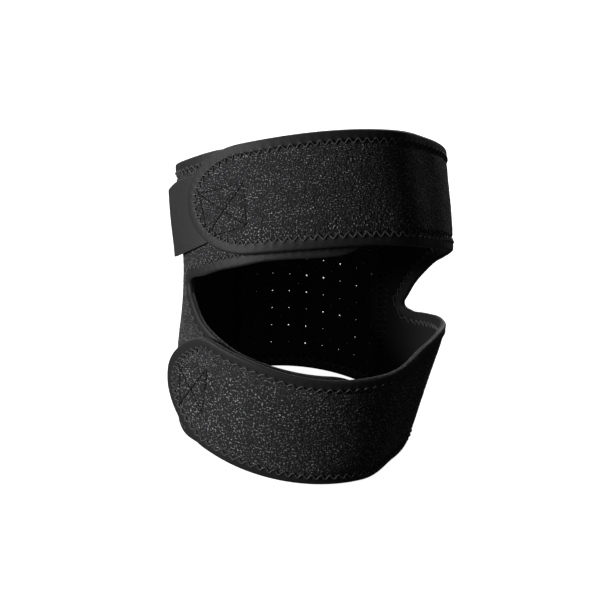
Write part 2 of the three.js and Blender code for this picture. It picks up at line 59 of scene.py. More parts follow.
# The leg's space, in millimetres, and where its axis stands in the frame
LEG_WIDTH = 119
LEG_DEPTH = 103
RIM_TAPER = 0.11
BEND_START = 60
BEND_LENGTH = 44
BEND_ANGLE = math.radians(30.5)
BEND_CURL = BEND_ANGLE / BEND_LENGTH
BEND_MIDDLE = BEND_START + BEND_LENGTH / 2
LEG_AXIS = (3.112, -6.833)

# Cloth and tape
CLOTH = 2.5
HEM_CLOTH = 1.3
HEM_WIDTH = 5.4
HEM_STEP = 1.6
HEM = HEM_WIDTH + HEM_STEP
HEM_EASE = (0.6, 0.2)
TAPE = 0.4
TAPE_WIDTH = 4
TAPE_CROWN = 0.12
FOLD_START = -0.45
FOLD_THICK = 0.3
FOLD_ROOM = 0.1
HOOK = 0.7
GAP = 0.3
RIM = GAP + TAPE
TAPE_PROUD = max(HEM_CLOTH / 2 + GAP + TAPE - CLOTH / 2, 0)
LAYER_LIFT = CLOTH + 2 * TAPE_PROUD + 2 * GAP + HOOK
PATCH_MIDDLE = CLOTH + TAPE_PROUD + GAP + HOOK / 2

# The wrap's outline: turns in degrees from the front, heights as shares of the wrap's height
WRAP_HEIGHT = 132
TOP_EDGE = {"front": 0.035, "oval": 0.02, "side": -0.035}
STRAP_RISE = {"most": 8.5, "start": 20, "end": -80}
ARM_TUCK = {"most": 2, "past": 30, "over": 20}
ARM_RISE = {"most": 3, "past": 5, "over": 20}
SEAM_HEIGHT = 47
RIGHT_SEAM = {"turn": 119.5, "lean": 0.22}
LEFT_SEAM = {"turn": 194, "lean": 0.06}
SEAM_WIDTH = 4
SEAM_CLOTH = 1.5
SEAM_GAP = 0.5
LEAN_SPAN = 24
CLIMB = {"start": 34, "end": 9}
CURL_SPAN = 34
UPPER_TAB = {"end": -81, "length": 29, "curl": 0.4}
LOWER_TAB = {"end": -93, "length": 26, "curl": 4}
ARM_TAB = {"end": 8, "length": 24, "curl": 0}
TAB_FULL = math.sin(math.radians(80))
NOTCH_TURN = 108
CROOK_TURN = -98
NOTCH_EDGES = {
    "past": (0, 0.64, 2.56, 6, 10, 20, 36, 55, 78, 108, 138, 168, 183, 201),
    "upper": (
        0.361, 0.377, 0.403, 0.456, 0.51, 0.601, 0.654, 0.682, 0.707, 0.73, 0.732, 0.722, 0.712, 0.7,
    ),
    "lower": (
        0.361, 0.352, 0.347, 0.35, 0.357, 0.39, 0.44, 0.474, 0.464, 0.443, 0.451, 0.472, 0.478, 0.426,
    ),
}
CROOK_EDGES = {
    "past": (0, 0.6, 2.5, 7, 17, 28, 40, 54, 80, 110),
    "upper": (0.593, 0.608, 0.62, 0.635, 0.652, 0.676, 0.693, 0.708, 0.712, 0.715),
    "lower": (0.593, 0.577, 0.559, 0.54, 0.5, 0.479, 0.462, 0.452, 0.44, 0.433),
}
UPPER_PATCH = {
    "turn": (-111, -95, -76, -52),
    "low": (0.669, 0.705, 0.745, 0.79),
    "high": (0.925, 0.95, 0.965, 0.95),
    "bare_curl": 2.4,
}
LOWER_PATCH = {
    "turn": (-88, -80, -69),
    "low": (0.19, 0.185, 0.18),
    "high": (0.36, 0.37, 0.39),
    "bare_curl": 0,
}

# Holes through the panel: the main rows and smaller ones between them, the shares of a hole's width that
# may stay open inside it, and its lip as pairs of a way past its rim and a depth
HOLE = 1.5
SMALL_HOLE = 0.95
HOLE_WAIST = (0.05, 0.4)
HOLE_LIP = ((0.45, 0), (0.15, 0.1), (0, 0.35))
HOLE_STEP_ACROSS = 8.2
HOLE_STEP_UP = 9

# Sewn boxes on the tabs, as corners in turn and height, and how deep and how wide their lines pull the cloth
UPPER_BOX = ((-52, 122), (-52, 104), (-71, 101), (-74, 119))
LOWER_BOX = ((-69, 50), (-70, 26), (-84, 23), (-85, 42))
SEWN_DEPTH = 0.6
SEWN_WIDTH = 0.9
SEWN_SINK = 0.1
STITCH_SPAN = (0.08, 0.92)

# The zigzag over the tape's border: its middle past the border, its reach, its rise over the cloth, and
# where and how far its ends sink in
ZIGZAG = {"middle": 0.15, "reach": 1.25, "over": 0.25, "ends": 0.72, "sink": 0.45}

# Lamps round the strap: azimuth, elevation, distance, size and share of the key light's power
LAMPS = {
    "key": (-86, 16, 0.9, 0.26, 1),
    "top": (-92, 60, 0.9, 0.35, 0.025),
    "side": (132, 20, 0.9, 0.4, 0.4),
    "back": (185, 22, 0.9, 0.4, 0.42),
}
FLOOR_REACH = 3.0
FLOOR_GLOW = 0.975

# Where the camera aims, in millimetres, where that shows in the picture, and the picture's side in pixels
AIM = (3.1, -6.8, 70)
AIM_PIXEL = (317.3, 291.5)
PICTURE = 600

# Gentle waves of the cloth: how far out, turns round the leg, and millimetres up for one radian
WAVES = ((0.35, 3, 17, 0.4), (0.22, 5, -11, 1.7), (0.12, 9, 7, 2.9))
WAVES_FROM_FLOOR = 25

SEED = 7


def smooth(share):
    """The smooth step from 0 to 1."""
    share = np.clip(share, 0, 1)
    return share * share * (3 - 2 * share)


def eased(ease, past):
    """A change of height that eases in from a way past the fork."""
    return ease["most"] * smooth((past - ease["past"]) / ease["over"])


def follow(keys, values, at):
    """A smooth line through a table's rows, at any values of its key."""
    keys, values = np.asarray(keys, float), np.asarray(values, float)
    before = np.maximum(np.arange(len(keys)) - 1, 0)
    after = np.minimum(np.arange(len(keys)) + 1, len(keys) - 1)
    slopes = (values[after] - values[before]) / (keys[after] - keys[before])
    i = np.clip(np.searchsorted(keys, at, side="right") - 1, 0, len(keys) - 2)
    span = keys[i + 1] - keys[i]
    t = np.clip((at - keys[i]) / span, 0, 1)
    bulge = t * (1 - t) * span
    line = values[i] + (values[i + 1] - values[i]) * smooth(t)
    return line + bulge * ((1 - t) * slopes[i] - t * slopes[i + 1])


def waves(turn, height):
    """How far the gentle waves lift the cloth at turns and heights."""
    around = np.radians(turn)
    lift = sum(most * np.sin(count * around + height / up + start) for most, count, up, start in WAVES)
    return lift * smooth(height / WAVES_FROM_FLOOR)


def on_leg(turn, height, out):
    """Points in millimetres at turns and heights, out from the leg's skin."""
    turn, height, out = np.broadcast_arrays(
        np.asarray(turn, float), np.asarray(height, float), np.asarray(out, float)
    )
    out = out + waves(turn, height)
    around = np.radians(turn)
    tilt = BEND_CURL * np.clip(height - BEND_START, 0, BEND_LENGTH)
    above = np.maximum(height - BEND_START - BEND_LENGTH, 0)
    narrow = 1 - RIM_TAPER * (np.maximum(BEND_MIDDLE - height, 0) / BEND_MIDDLE) ** 2
    depth = (LEG_DEPTH / 2 * narrow + out) * np.cos(around)
    width = (LEG_WIDTH / 2 * narrow + out) * np.sin(around)
    back = (1 - np.cos(tilt)) / BEND_CURL + np.sin(tilt) * above
    axis = np.minimum(height, BEND_START) + np.sin(tilt) / BEND_CURL + np.cos(tilt) * above
    x = LEG_AXIS[0] + width
    y = LEG_AXIS[1] + back - depth * np.cos(tilt)
    return np.stack([x, y, axis + depth * np.sin(tilt)], -1)


def scale_at(turn, height):
    """Millimetres for one degree of turn and for one millimetre of height, on the cloth's middle."""
    half = 0.5
    turn_step = on_leg(turn + half, height, CLOTH / 2) - on_leg(turn - half, height, CLOTH / 2)
    up_step = on_leg(turn, height + half, CLOTH / 2) - on_leg(turn, height - half, CLOTH / 2)
    return np.linalg.norm(turn_step, axis=-1), np.linalg.norm(up_step, axis=-1)


def shifted(turn, height, across, up):
    """Places that lie real distances across and up from others."""
    moved = turn + across / scale_at(turn, height)[0]
    return moved, height + up / scale_at(moved, height)[1]


def top_edge(turn):
    """Height of the wrap's upper edge."""
    around = np.radians(turn)
    waved = TOP_EDGE["front"] * np.cos(around) + TOP_EDGE["oval"] * np.cos(2 * around)
    return WRAP_HEIGHT * (1 + waved + TOP_EDGE["side"] * np.sin(around))


def floor_edge(turn):
    """Height of a lower edge whose tape stands on the floor."""
    return RIM / scale_at(turn, np.full_like(turn, RIM / 2, dtype=float))[1]


def strap_rise(turn):
    """How far the lower strap's lower edge stands above the floor."""
    share = (STRAP_RISE["start"] - turn) / (STRAP_RISE["start"] - STRAP_RISE["end"])
    return STRAP_RISE["most"] * np.clip(share, 0, 1) ** 2


def curl_at(turn, tab):
    """How far a tab's end stands off what it lies on."""
    return tab["curl"] * np.clip(1 - np.clip(turn - tab["end"], 0, None) / CURL_SPAN, 0, None) ** 2


def flat_middle(turn):
    """The cloth's middle where it lies on the leg."""
    return np.full_like(turn, CLOTH / 2, dtype=float)


def strap_middle(tab):
    """The middle of a strap that climbs from the leg onto the arms and curls off at its tab."""

    def middle(turn):
        climb = smooth((CLIMB["start"] - turn) / (CLIMB["start"] - CLIMB["end"]))
        return CLOTH / 2 + LAYER_LIFT * climb + curl_at(turn, tab)

    return middle


def half_cloth(from_edge):
    """Half the cloth at a distance from its bound edge, with a soft step at the hem."""
    share = smooth((from_edge - HEM_WIDTH + HEM_EASE[0]) / (HEM_STEP + sum(HEM_EASE)))
    return HEM_CLOTH / 2 + (CLOTH - HEM_CLOTH) / 2 * share


def tape_rise(into):
    """The tape's outer face above the cloth's middle, at a distance in from the cloth's edge."""
    share = np.clip(into / TAPE_WIDTH, 0, 1)
    return HEM_CLOTH / 2 + GAP + TAPE + TAPE_CROWN * np.sin(math.pi * share)


def stretch(path):
    """The length along a row of points, at each point."""
    return np.concatenate([[0], np.cumsum(np.linalg.norm(np.diff(path, axis=0), axis=1))])


FREE_SIDES = ((slice(None), 0), (slice(None), -1), (-1, slice(None)))
ALL_SIDES = ((slice(None), 0), (slice(None), -1), (0, slice(None)), (-1, slice(None)))


class Surface:
    """Grids and caps gathered into one closed mesh, with a flat map in millimetres."""

    def __init__(self):
        self.points = []
        self.maps = []
        self.faces = []
        self.kinds = []
        self.count = 0

    def grid(self, points, flat=None, kind=0):
        """Adds a grid of points, its rows along the second axis."""
        across, up = points.shape[:2]
        flat = points[..., :2] if flat is None else flat
        index = np.arange(across * up).reshape(across, up) + self.count
        quads = np.stack([index[:-1, :-1], index[1:, :-1], index[1:, 1:], index[:-1, 1:]], -1)
        self.points.append(points.reshape(-1, 3))
        self.maps.append(np.broadcast_to(flat, points.shape[:2] + (2,)).reshape(-1, 2))
        self.faces += quads.reshape(-1, 4).tolist()
        self.kinds += [kind] * (quads.size // 4)
        self.count += across * up

    def shell(self, outer, inner, flat, sides, kinds=(0, 0, 0)):
        """Adds two faces and the strips that join some of their sides."""
        self.grid(outer, flat, kinds[0])
        self.grid(inner, flat, kinds[1])
        for side in sides:
            strip = np.stack([outer[side], inner[side]])
            self.grid(strip, np.stack([flat[side], flat[side]]), kinds[2])

    def cap(self, ring, kind=0):
        """Adds one face over a ring of points."""
        self.points.append(ring)
        self.maps.append(ring[:, :2])
        self.faces.append(list(range(self.count, self.count + len(ring))))
        self.kinds.append(kind)
        self.count += len(ring)

    def tube(self, rings, flat=None, kind=0):
        """Adds a closed sweep through rings of points, with a face over each end."""
        closed = np.concatenate([rings, rings[:, :1]], 1)
        if flat is not None:
            flat = np.concatenate([flat, flat[:, :1]], 1)
        self.grid(closed, flat, kind)
        self.cap(rings[0], kind)
        self.cap(rings[-1], kind)

    def piece(self, name, materials, slot, replaced=()):
        """Makes the object and rides it on the strap's body, hiding the imported parts that it replaces."""
        mesh = bpy.data.meshes.new(name)
        mesh.from_pydata((np.concatenate(self.points) * MM).tolist(), [], self.faces)
        layer = mesh.uv_layers.new(name="cloth")
        corners = np.zeros(len(mesh.loops), np.int32)
        mesh.loops.foreach_get("vertex_index", corners)
        layer.data.foreach_set("uv", np.concatenate(self.maps)[corners].astype(np.float32).ravel())
        mesh.polygons.foreach_set("material_index", self.kinds)
        work = bmesh.new()
        work.from_mesh(mesh)
        bmesh.ops.remove_doubles(work, verts=work.verts, dist=2e-6)
        bmesh.ops.recalc_face_normals(work, faces=work.faces)
        work.to_mesh(mesh)
        work.free()
        mesh.polygons.foreach_set("use_smooth", [True] * len(mesh.polygons))
        for material in materials:
            mesh.materials.append(material)
        piece = bpy.data.objects.new(name, mesh)
        bpy.context.scene.collection.objects.link(piece)
        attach(piece, ROOT)
        if replaced:
            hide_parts(*replaced)
        return piece


class Arm:
    """A strap or arm that runs from the fork to a rounded tab."""

    def __init__(self, tab, low, high, middle):
        self.tab = tab
        self.low = low
        self.high = high
        self.middle = middle


class Wing:
    """A sheet with a seam at one side and two arms past a fork at the other."""

    def __init__(self, way, seam, seam_turn, fork, lower, upper):
        self.way = way
        self.seam = seam
        self.seam_turn = seam_turn
        self.fork = fork
        self.lower = lower
        self.upper = upper

    def lean(self, turn, height, past):
        """The turn of a place whose column leans with the seam, less and less past the fork."""
        fade = np.clip(1 - past / LEAN_SPAN, 0, 1)
        return turn + self.seam["lean"] * fade * (height - SEAM_HEIGHT)


# Steps of a wing's mesh: columns close together at the fork and round the tab, rows close at the hems
ROOT_STEP = 0.12
FORK_REACH = 4.8
COLUMN_STEP = 1.15
TAB_STEP = 2
TAB_LAST = 88
HEM_STOPS = np.array([0, 2, 4, 4.7, 5.2, 5.7, 6.2, 6.8, 7.6, 8.8])
FULL_ROWS = 30
MOST_HEM = 0.42
MOST_STEEP = 1.6


def arm_stops(wing, arm):
    """How far past the fork an arm's columns stand."""
    length = abs(arm.tab["end"] - wing.fork)
    tab = arm.tab["length"]
    roots = np.arange(0, FORK_REACH, ROOT_STEP) ** 2
    count = int((length - tab - FORK_REACH**2) / COLUMN_STEP)
    straight = np.linspace(FORK_REACH**2, length - tab, count, endpoint=False)
    angles = np.radians(np.arange(0, TAB_LAST + 1, TAB_STEP))
    return np.concatenate([roots, straight, length - tab + tab * np.sin(angles) / TAB_FULL])


def arm_edges(wing, arm, past):
    """Turns and the two edges' heights, past the fork, drawn in round the tab."""
    turn = wing.fork + wing.way * past
    low = arm.low(turn, past)
    high = arm.high(turn, past)
    tab_start = abs(arm.tab["end"] - wing.fork) - arm.tab["length"]
    into = np.clip(past - tab_start, 0, None) / arm.tab["length"]
    share = np.sqrt(np.clip(1 - (into * TAB_FULL) ** 2, 0, None))
    centre = (low + high) / 2
    return turn, centre + (low - centre) * share, centre + (high - centre) * share


def rows_between(turn, low, high, steep_low, steep_high):
    """Heights of each column's rows, close together at both hems."""
    reach = HEM_STOPS[-1]
    scale = scale_at(turn, (low + high) / 2)[1]
    most = (high - low) * scale * MOST_HEM
    low_reach = np.minimum(reach * steep_low, most) / scale_at(turn, low)[1]
    high_reach = np.minimum(reach * steep_high, most) / scale_at(turn, high)[1]
    shares = HEM_STOPS / reach
    first = low[:, None] + low_reach[:, None] * shares
    last = high[:, None] - high_reach[:, None] * shares[::-1]
    full = np.linspace(0, 1, FULL_ROWS + 2)[1:-1]
    between = first[:, -1:] + (last[:, :1] - first[:, -1:]) * full
    return np.concatenate([first, between, last], 1)


def arm_grid(wing, arm):
    """Turns and heights of an arm's places, column by column."""
    past = arm_stops(wing, arm)
    turn, low, high = arm_edges(wing, arm, past)
    scale = scale_at(turn, (low + high) / 2)
    run = np.abs(np.gradient(turn)) * scale[0]

    def steep(edge):
        return np.clip(np.hypot(1, np.gradient(edge) * scale[1] / run), 1, MOST_STEEP)

    heights = rows_between(turn, low, high, steep(low), steep(high))
    turns = wing.lean(turn[:, None], heights, past[:, None])
    return turns, heights


def web_grid(wing, tip):
    """Turns and heights of the cloth between the seam and the fork, from the fork to the seam."""
    scale = float(scale_at(wing.fork, tip)[0])
    room = abs(wing.fork - wing.seam_turn) * scale
    near = np.arange(0, min(HEM + 2, room), 0.8)
    away = np.concatenate([near, np.linspace(near[-1], room, max(int(room - near[-1]), 2) + 1)[1:]])
    turn = wing.fork - wing.way * away / scale
    low = floor_edge(turn)
    high = top_edge(turn)
    middle = np.full_like(turn, tip)
    steep = 1 + (MOST_STEEP - 1) * np.exp(-away / 3)
    below = rows_between(turn, low, middle, np.ones_like(turn), steep)
    above = rows_between(turn, middle, high, steep, np.ones_like(turn))
    heights = np.concatenate([below, above[:, 1:]], 1)
    return turn[:, None] + wing.seam["lean"] * (heights - SEAM_HEIGHT), heights


def bound_path(lower, upper, web):
    """The bound edge's places from the seam round both arms, and which arm each belongs to."""
    parts = []

    def add(grid, pick, kind):
        turn, height = (pick(values) for values in grid)
        parts.append(np.stack([turn, height, np.full_like(turn, kind)], 1))

    add(web, lambda v: v[::-1, 0], 0)
    for grid, kind in ((lower, 1), (upper, 2)):
        add(grid, lambda v: v[1:, 0], kind)
        add(grid, lambda v: v[-1, 1:], kind)
        add(grid, lambda v: v[:-1, -1][::-1], kind)
    add(web, lambda v: v[1:, -1], 0)
    return np.concatenate(parts)


def even_path(path, step):
    """The same path with places a real step apart."""
    along = stretch(on_leg(path[:, 0], path[:, 1], CLOTH / 2))
    keep = np.concatenate([[True], np.diff(along) > 1e-6])
    along, path = along[keep], path[keep]
    stops = np.linspace(0, along[-1], max(int(along[-1] / step), 2))
    columns = [np.interp(stops, along, path[:, i]) for i in range(3)]
    columns[2] = np.round(columns[2])
    return np.stack(columns, 1), stops


def outwards(path):
    """The way out of the cloth at each place, across and up, with the cloth on the path's left."""
    scale = scale_at(path[:, 0], path[:, 1])
    run = np.gradient(path[:, 0]) * scale[0]
    rise = np.gradient(path[:, 1]) * scale[1]
    length = np.hypot(run, rise)
    return np.stack([rise / length, -run / length], 1)


def beside(path, middles, past, rise):
    """Points beside a path: distances past the cloth's edge and above its middle."""
    way = outwards(path)
    turn, height = shifted(path[:, 0], path[:, 1], way[:, 0] * past, way[:, 1] * past)
    out = np.choose(path[:, 2].astype(int), [middle(turn) for middle in middles])
    return on_leg(turn, height, out + rise)


def edge_finder(path, middles):
    """Finds how far places are from the bound edge."""
    fine = even_path(path, 0.4)[0]
    points = beside(fine, middles, np.zeros(len(fine)), 0)
    tree = KDTree(len(points))
    for i, point in enumerate(points):
        tree.insert(point, i)
    tree.balance()

    def find(points):
        flat = points.reshape(-1, 3)
        return np.array([tree.find(point)[2] for point in flat]).reshape(points.shape[:-1])

    return find


def box_lines(corners):
    """The sides and diagonals of a sewn box, as pairs of places."""
    a, b, c, d = corners
    return [(a, b), (b, c), (c, d), (d, a), (a, c), (b, d)]


def sewn_dip(turn, height, lines):
    """How far the thread pulls the cloth down beside sewn lines."""
    scale = scale_at(turn, height)
    near = np.full(np.shape(turn), 1e3)
    for (turn0, height0), (turn1, height1) in lines:
        x, y = (turn - turn0) * scale[0], (height - height0) * scale[1]
        dx, dy = (turn1 - turn0) * scale[0], (height1 - height0) * scale[1]
        t = np.clip((x * dx + y * dy) / (dx * dx + dy * dy), 0, 1)
        near = np.minimum(near, np.hypot(x - t * dx, y - t * dy))
    return SEWN_DEPTH * np.exp(-((near / SEWN_WIDTH) ** 2))


def make_wing(wing, lines, roughen):
    """A wing's sheet, its bound edge and the area of its cloth."""
    lower = arm_grid(wing, wing.lower)
    upper = arm_grid(wing, wing.upper)
    web = web_grid(wing, float(lower[1][0, -1]))
    fork = [np.concatenate([low[0], high[0, 1:]]) for low, high in zip(lower, upper)]
    web = tuple(np.concatenate([start[None], rest[1:]]) for start, rest in zip(fork, web))
    path = bound_path(lower, upper, web)
    middles = [flat_middle, wing.lower.middle, wing.upper.middle]
    from_edge = edge_finder(path, middles)
    random = np.random.default_rng(SEED)
    surface = Surface()
    area = 0
    for (turns, heights), middle in ((lower, middles[1]), (upper, middles[2]), (web, flat_middle)):
        out = middle(turns)
        centre = on_leg(turns, heights, out)
        half = half_cloth(from_edge(centre))
        grain = random.normal(0, roughen, half.shape)
        grain[0], grain[:, 0], grain[:, -1], grain[-1] = 0, 0, 0, 0
        flat = np.stack([turns * scale_at(0, SEAM_HEIGHT)[0], heights], -1)
        dip = sewn_dip(turns, heights, lines) if lines else 0
        outer = on_leg(turns, heights, out + half + grain - dip)
        inner = on_leg(turns, heights, out - half)
        surface.shell(outer, inner, flat, FREE_SIDES, (0, 1, 2))
        sides = np.cross(centre[1:, :-1] - centre[:-1, :-1], centre[:-1, 1:] - centre[:-1, :-1])
        area += np.linalg.norm(sides, axis=-1).sum()
    return surface, path, middles, area


def tape_section():
    """The tape's closed section: distance past the cloth's edge, and distance from its middle."""
    inside = HEM_CLOTH / 2 + FOLD_ROOM
    into = np.linspace(TAPE_WIDTH, -FOLD_START, 7)
    top = np.stack([-into, tape_rise(into)], 1)
    top[0, 1] -= TAPE_CROWN
    reach = RIM - FOLD_START
    turn = np.radians(np.linspace(75, -75, 9))
    nose = np.stack([FOLD_START + reach * np.cos(turn), top[-1, 1] * np.sin(turn)], 1)
    bottom = top[::-1] * (1, -1)
    turn = np.radians(np.linspace(-90, 90, 7))
    hollow = np.stack([FOLD_START + (reach - FOLD_THICK) * np.cos(turn), inside * np.sin(turn)], 1)
    free_low = np.array([[-TAPE_WIDTH - 0.08, -inside - TAPE_CROWN], [-TAPE_WIDTH, -inside]])
    free_high = free_low[::-1] * (1, -1)
    return np.concatenate([top, nose, bottom, free_low, hollow, free_high])


def make_tape(path, middles, step, pitch, pull):
    """Tape folded over a path's edge, pulled in a little at each stitch."""
    places, along = even_path(path, step)
    section = tape_section()
    pulled = pull * (0.5 + 0.5 * np.cos(2 * math.pi * along / pitch))
    inner_face = HEM_CLOTH / 2 + FOLD_ROOM + 0.05
    rings = []
    for past, rise in section:
        into = np.clip(-past / TAPE_WIDTH, 0, 1)
        deep = rise - np.sign(rise) * pulled * into * (abs(rise) > inner_face)
        rings.append(beside(places, middles, np.full(len(places), past), deep))
    rings = np.stack(rings, 1)
    round_it = np.concatenate([[0], np.cumsum(np.hypot(*np.diff(section, axis=0).T))])
    flat = np.stack(np.broadcast_arrays(along[:, None], round_it[None]), -1)
    surface = Surface()
    surface.tube(rings, flat)
    return surface


def thread_rings(points, radius, sides=6):
    """Rings of a thread along a row of points, one radius or one for each."""
    ahead = np.gradient(points, axis=0)
    ahead /= np.linalg.norm(ahead, axis=1, keepdims=True)
    up = np.array([0.31, 0.22, 0.92])
    side = np.cross(ahead, up)
    side /= np.linalg.norm(side, axis=1, keepdims=True)
    over = np.cross(side, ahead)
    angles = np.linspace(0, 2 * math.pi, sides, endpoint=False)
    radius = np.broadcast_to(np.asarray(radius, float), (len(points),))[:, None, None]
    ring = side[:, None] * np.cos(angles)[:, None] + over[:, None] * np.sin(angles)[:, None]
    return points[:, None] + ring * radius


def overlock(surface, path, middles, face, sizes):
    """A zigzag of thread over the tape's inner border, on the outer (1) or inner (-1) face."""
    pitch = sizes.stitch_pitch
    radius = sizes.thread / 2
    places, along = even_path(path, pitch / 10)
    wave = 2 * np.abs((along / pitch) % 1 * 2 - 1) - 1
    into = TAPE_WIDTH + ZIGZAG["middle"] + ZIGZAG["reach"] * wave
    rise = np.where(into < TAPE_WIDTH, tape_rise(into), half_cloth(into) + ZIGZAG["over"])
    ends = smooth((np.abs(wave) - ZIGZAG["ends"]) / (1 - ZIGZAG["ends"]))
    rise = rise + radius * 0.9 - ends * ZIGZAG["sink"]
    points = beside(places, middles, -into, face * rise)
    surface.tube(thread_rings(points, radius))


def sewn_line(surface, start, end, middle, sizes):
    """A row of straight stitches from one place to another on a cloth's outer face."""
    radius = sizes.thread / 2
    face = CLOTH / 2 - SEWN_SINK
    ends = on_leg(np.array([start[0], end[0]]), np.array([start[1], end[1]]), 0)
    length = float(np.linalg.norm(ends[1] - ends[0]))
    count = max(round(length / sizes.sewn_pitch), 1)
    for i in range(count):
        share = np.linspace(i + STITCH_SPAN[0], i + STITCH_SPAN[1], 7) / count
        turn = start[0] + (end[0] - start[0]) * share
        height = start[1] + (end[1] - start[1]) * share
        arch = 1 - np.abs(np.linspace(-1, 1, 7)) ** 3
        points = on_leg(turn, height, middle(turn) + face + radius * (2 * arch - 1.2))
        surface.tube(thread_rings(points, radius * (0.55 + 0.45 * arch)))


def panel_sizes():
    """The panel's middle turn, floor, length and width laid flat."""
    middle = (RIGHT_SEAM["turn"] + LEFT_SEAM["turn"]) / 2
    floor = float(floor_edge(np.array([middle]))[0])
    length = back_length(float(top_edge(middle))) - floor
    scale = float(scale_at(middle, SEAM_HEIGHT)[0])
    return floor, length, (LEFT_SEAM["turn"] - RIGHT_SEAM["turn"]) * scale - SEAM_WIDTH


BACK_SHORT = 1 - BEND_CURL * LEG_DEPTH / 2


def back_length(height):
    """The real length up the middle of the back to a height."""
    bent = np.clip(height - BEND_START, 0, BEND_LENGTH)
    straight = np.maximum(height - BEND_START - BEND_LENGTH, 0)
    return np.minimum(height, BEND_START) + bent * BACK_SHORT + straight


def back_height(length):
    """The height at a real length up the middle of the back."""
    bent = np.clip((length - BEND_START) / BACK_SHORT, 0, BEND_LENGTH)
    straight = np.maximum(length - BEND_START - BEND_LENGTH * BACK_SHORT, 0)
    return np.minimum(length, BEND_START) + bent + straight


def seam_half(seam):
    """Half a seam's width in degrees."""
    return SEAM_WIDTH / 2 / float(scale_at(seam["turn"], SEAM_HEIGHT)[0])


def seam_turn(seam, height):
    """The turn of a seam's middle at a height."""
    return seam["turn"] + seam["lean"] * (height - SEAM_HEIGHT)


def panel_place(across, up):
    """Turn and height at a distance across and up the panel from its lower right corner."""
    floor, length, width = PANEL
    share = across / width
    top = back_length(top_edge(RIGHT_SEAM["turn"] + (LEFT_SEAM["turn"] - RIGHT_SEAM["turn"]) * share))
    height = back_height(floor + up / length * (top - floor))
    right = seam_turn(RIGHT_SEAM, height) + seam_half(RIGHT_SEAM)
    left = seam_turn(LEFT_SEAM, height) - seam_half(LEFT_SEAM)
    return right + (left - right) * share, height


PANEL = panel_sizes()


def panel_point(across, up, face, dip=0):
    """A point on the panel's outer (1) or inner (-1) face."""
    across, up = np.broadcast_arrays(across, up)
    turn, height = panel_place(across, up)
    half = half_cloth(np.minimum(up, PANEL[1] - up)) - dip
    return on_leg(turn, height, CLOTH / 2 + face * half)


CELL_PARTS = 4
WAIST_DRAWS = np.random.default_rng(SEED)


def square_ring(x0, x1, y0, y1):
    """Places round a cell's four sides, in even parts."""
    parts = np.arange(CELL_PARTS) / CELL_PARTS
    low = np.stack([x0 + (x1 - x0) * parts, np.full(CELL_PARTS, y0)], 1)
    right = np.stack([np.full(CELL_PARTS, x1), y0 + (y1 - y0) * parts], 1)
    high = np.stack([x1 - (x1 - x0) * parts, np.full(CELL_PARTS, y1)], 1)
    left = np.stack([np.full(CELL_PARTS, x0), y1 - (y1 - y0) * parts], 1)
    return np.concatenate([low, right, high, left])


def pierced_cell(surface, x0, x1, y0, y1, hole):
    """A cell of the panel with a hole punched through it."""
    outline = square_ring(x0, x1, y0, y1)
    centre = np.array([(x0 + x1) / 2, (y0 + y1) / 2])
    angles = np.arctan2(outline[:, 1] - centre[1], outline[:, 0] - centre[0])
    round_it = np.stack([np.cos(angles), np.sin(angles)], 1)
    radius = hole / 2
    waist = radius * (HOLE_WAIST[0] + (HOLE_WAIST[1] - HOLE_WAIST[0]) * WAIST_DRAWS.random())
    levels = [(radius + past, dip) for past, dip in HOLE_LIP] + [(waist, CLOTH / 2)]
    places = [outline] + [centre + round_it * reach for reach, _ in levels]
    dips = [0] + [dip for _, dip in levels]
    outer = [panel_point(place[:, 0], place[:, 1], 1, dip) for place, dip in zip(places, dips)]
    inner = [panel_point(place[:, 0], place[:, 1], -1, dip) for place, dip in zip(places[:-1], dips)]
    rings = np.stack(outer + inner[::-1])
    flat = np.stack(places + places[-2::-1])
    closed = np.concatenate([rings, rings[:, :1]], 1)
    surface.grid(closed, np.concatenate([flat, flat[:, :1]], 1))


def make_panel():
    """The pierced panel: plain strips at its sides and hems, and a lattice of punched cells."""
    _, length, width = PANEL
    across = 2 * max(int(width / HOLE_STEP_ACROSS), 1)
    up = 2 * max(int((length - 2 * HEM) / HOLE_STEP_UP), 1)
    cell_x, cell_y = HOLE_STEP_ACROSS / 2, HOLE_STEP_UP / 2
    left, low = (width - across * cell_x) / 2, (length - up * cell_y) / 2
    xs = left + np.arange(across + 1) * cell_x
    ys = low + np.arange(up + 1) * cell_y
    fine_x = left + np.arange(across * CELL_PARTS + 1) * cell_x / CELL_PARTS
    side_x = np.linspace(0, left, 4)
    hem_y = np.unique(np.concatenate([[0], HEM_STOPS[HEM_STOPS < low - 0.2], [low]]))
    fine_y = low + np.arange(up * CELL_PARTS + 1) * cell_y / CELL_PARTS
    all_x = np.concatenate([side_x[:-1], fine_x, (width - side_x[::-1])[1:]])
    all_y = np.concatenate([hem_y[:-1], fine_y, (length - hem_y[::-1])[1:]])
    surface = Surface()

    def plain(part_x, part_y):
        x, y = np.meshgrid(part_x, part_y, indexing="ij")
        flat = np.stack([x, y], -1)
        for face in (1, -1):
            surface.grid(panel_point(x, y, face), flat)

    plain(side_x, all_y)
    plain(width - side_x[::-1], all_y)
    plain(fine_x, hem_y)
    plain(fine_x, length - hem_y[::-1])
    for i in range(across):
        for j in range(up):
            main = i % 2 == 0 and j % 2 == 0
            between = i % 2 == 1 and j % 2 == 1
            x0, x1, y0, y1 = xs[i], xs[i + 1], ys[j], ys[j + 1]
            if main or between:
                pierced_cell(surface, x0, x1, y0, y1, HOLE if main else SMALL_HOLE)
            else:
                plain(np.linspace(x0, x1, CELL_PARTS + 1), np.linspace(y0, y1, CELL_PARTS + 1))
    for edge_x, edge_y in ((all_x, 0), (all_x, length), (0, all_y), (width, all_y)):
        x, y = np.broadcast_arrays(np.asarray(edge_x, float), np.asarray(edge_y, float))
        surface.grid(np.stack([panel_point(x, y, 1), panel_point(x, y, -1)]))
    return surface


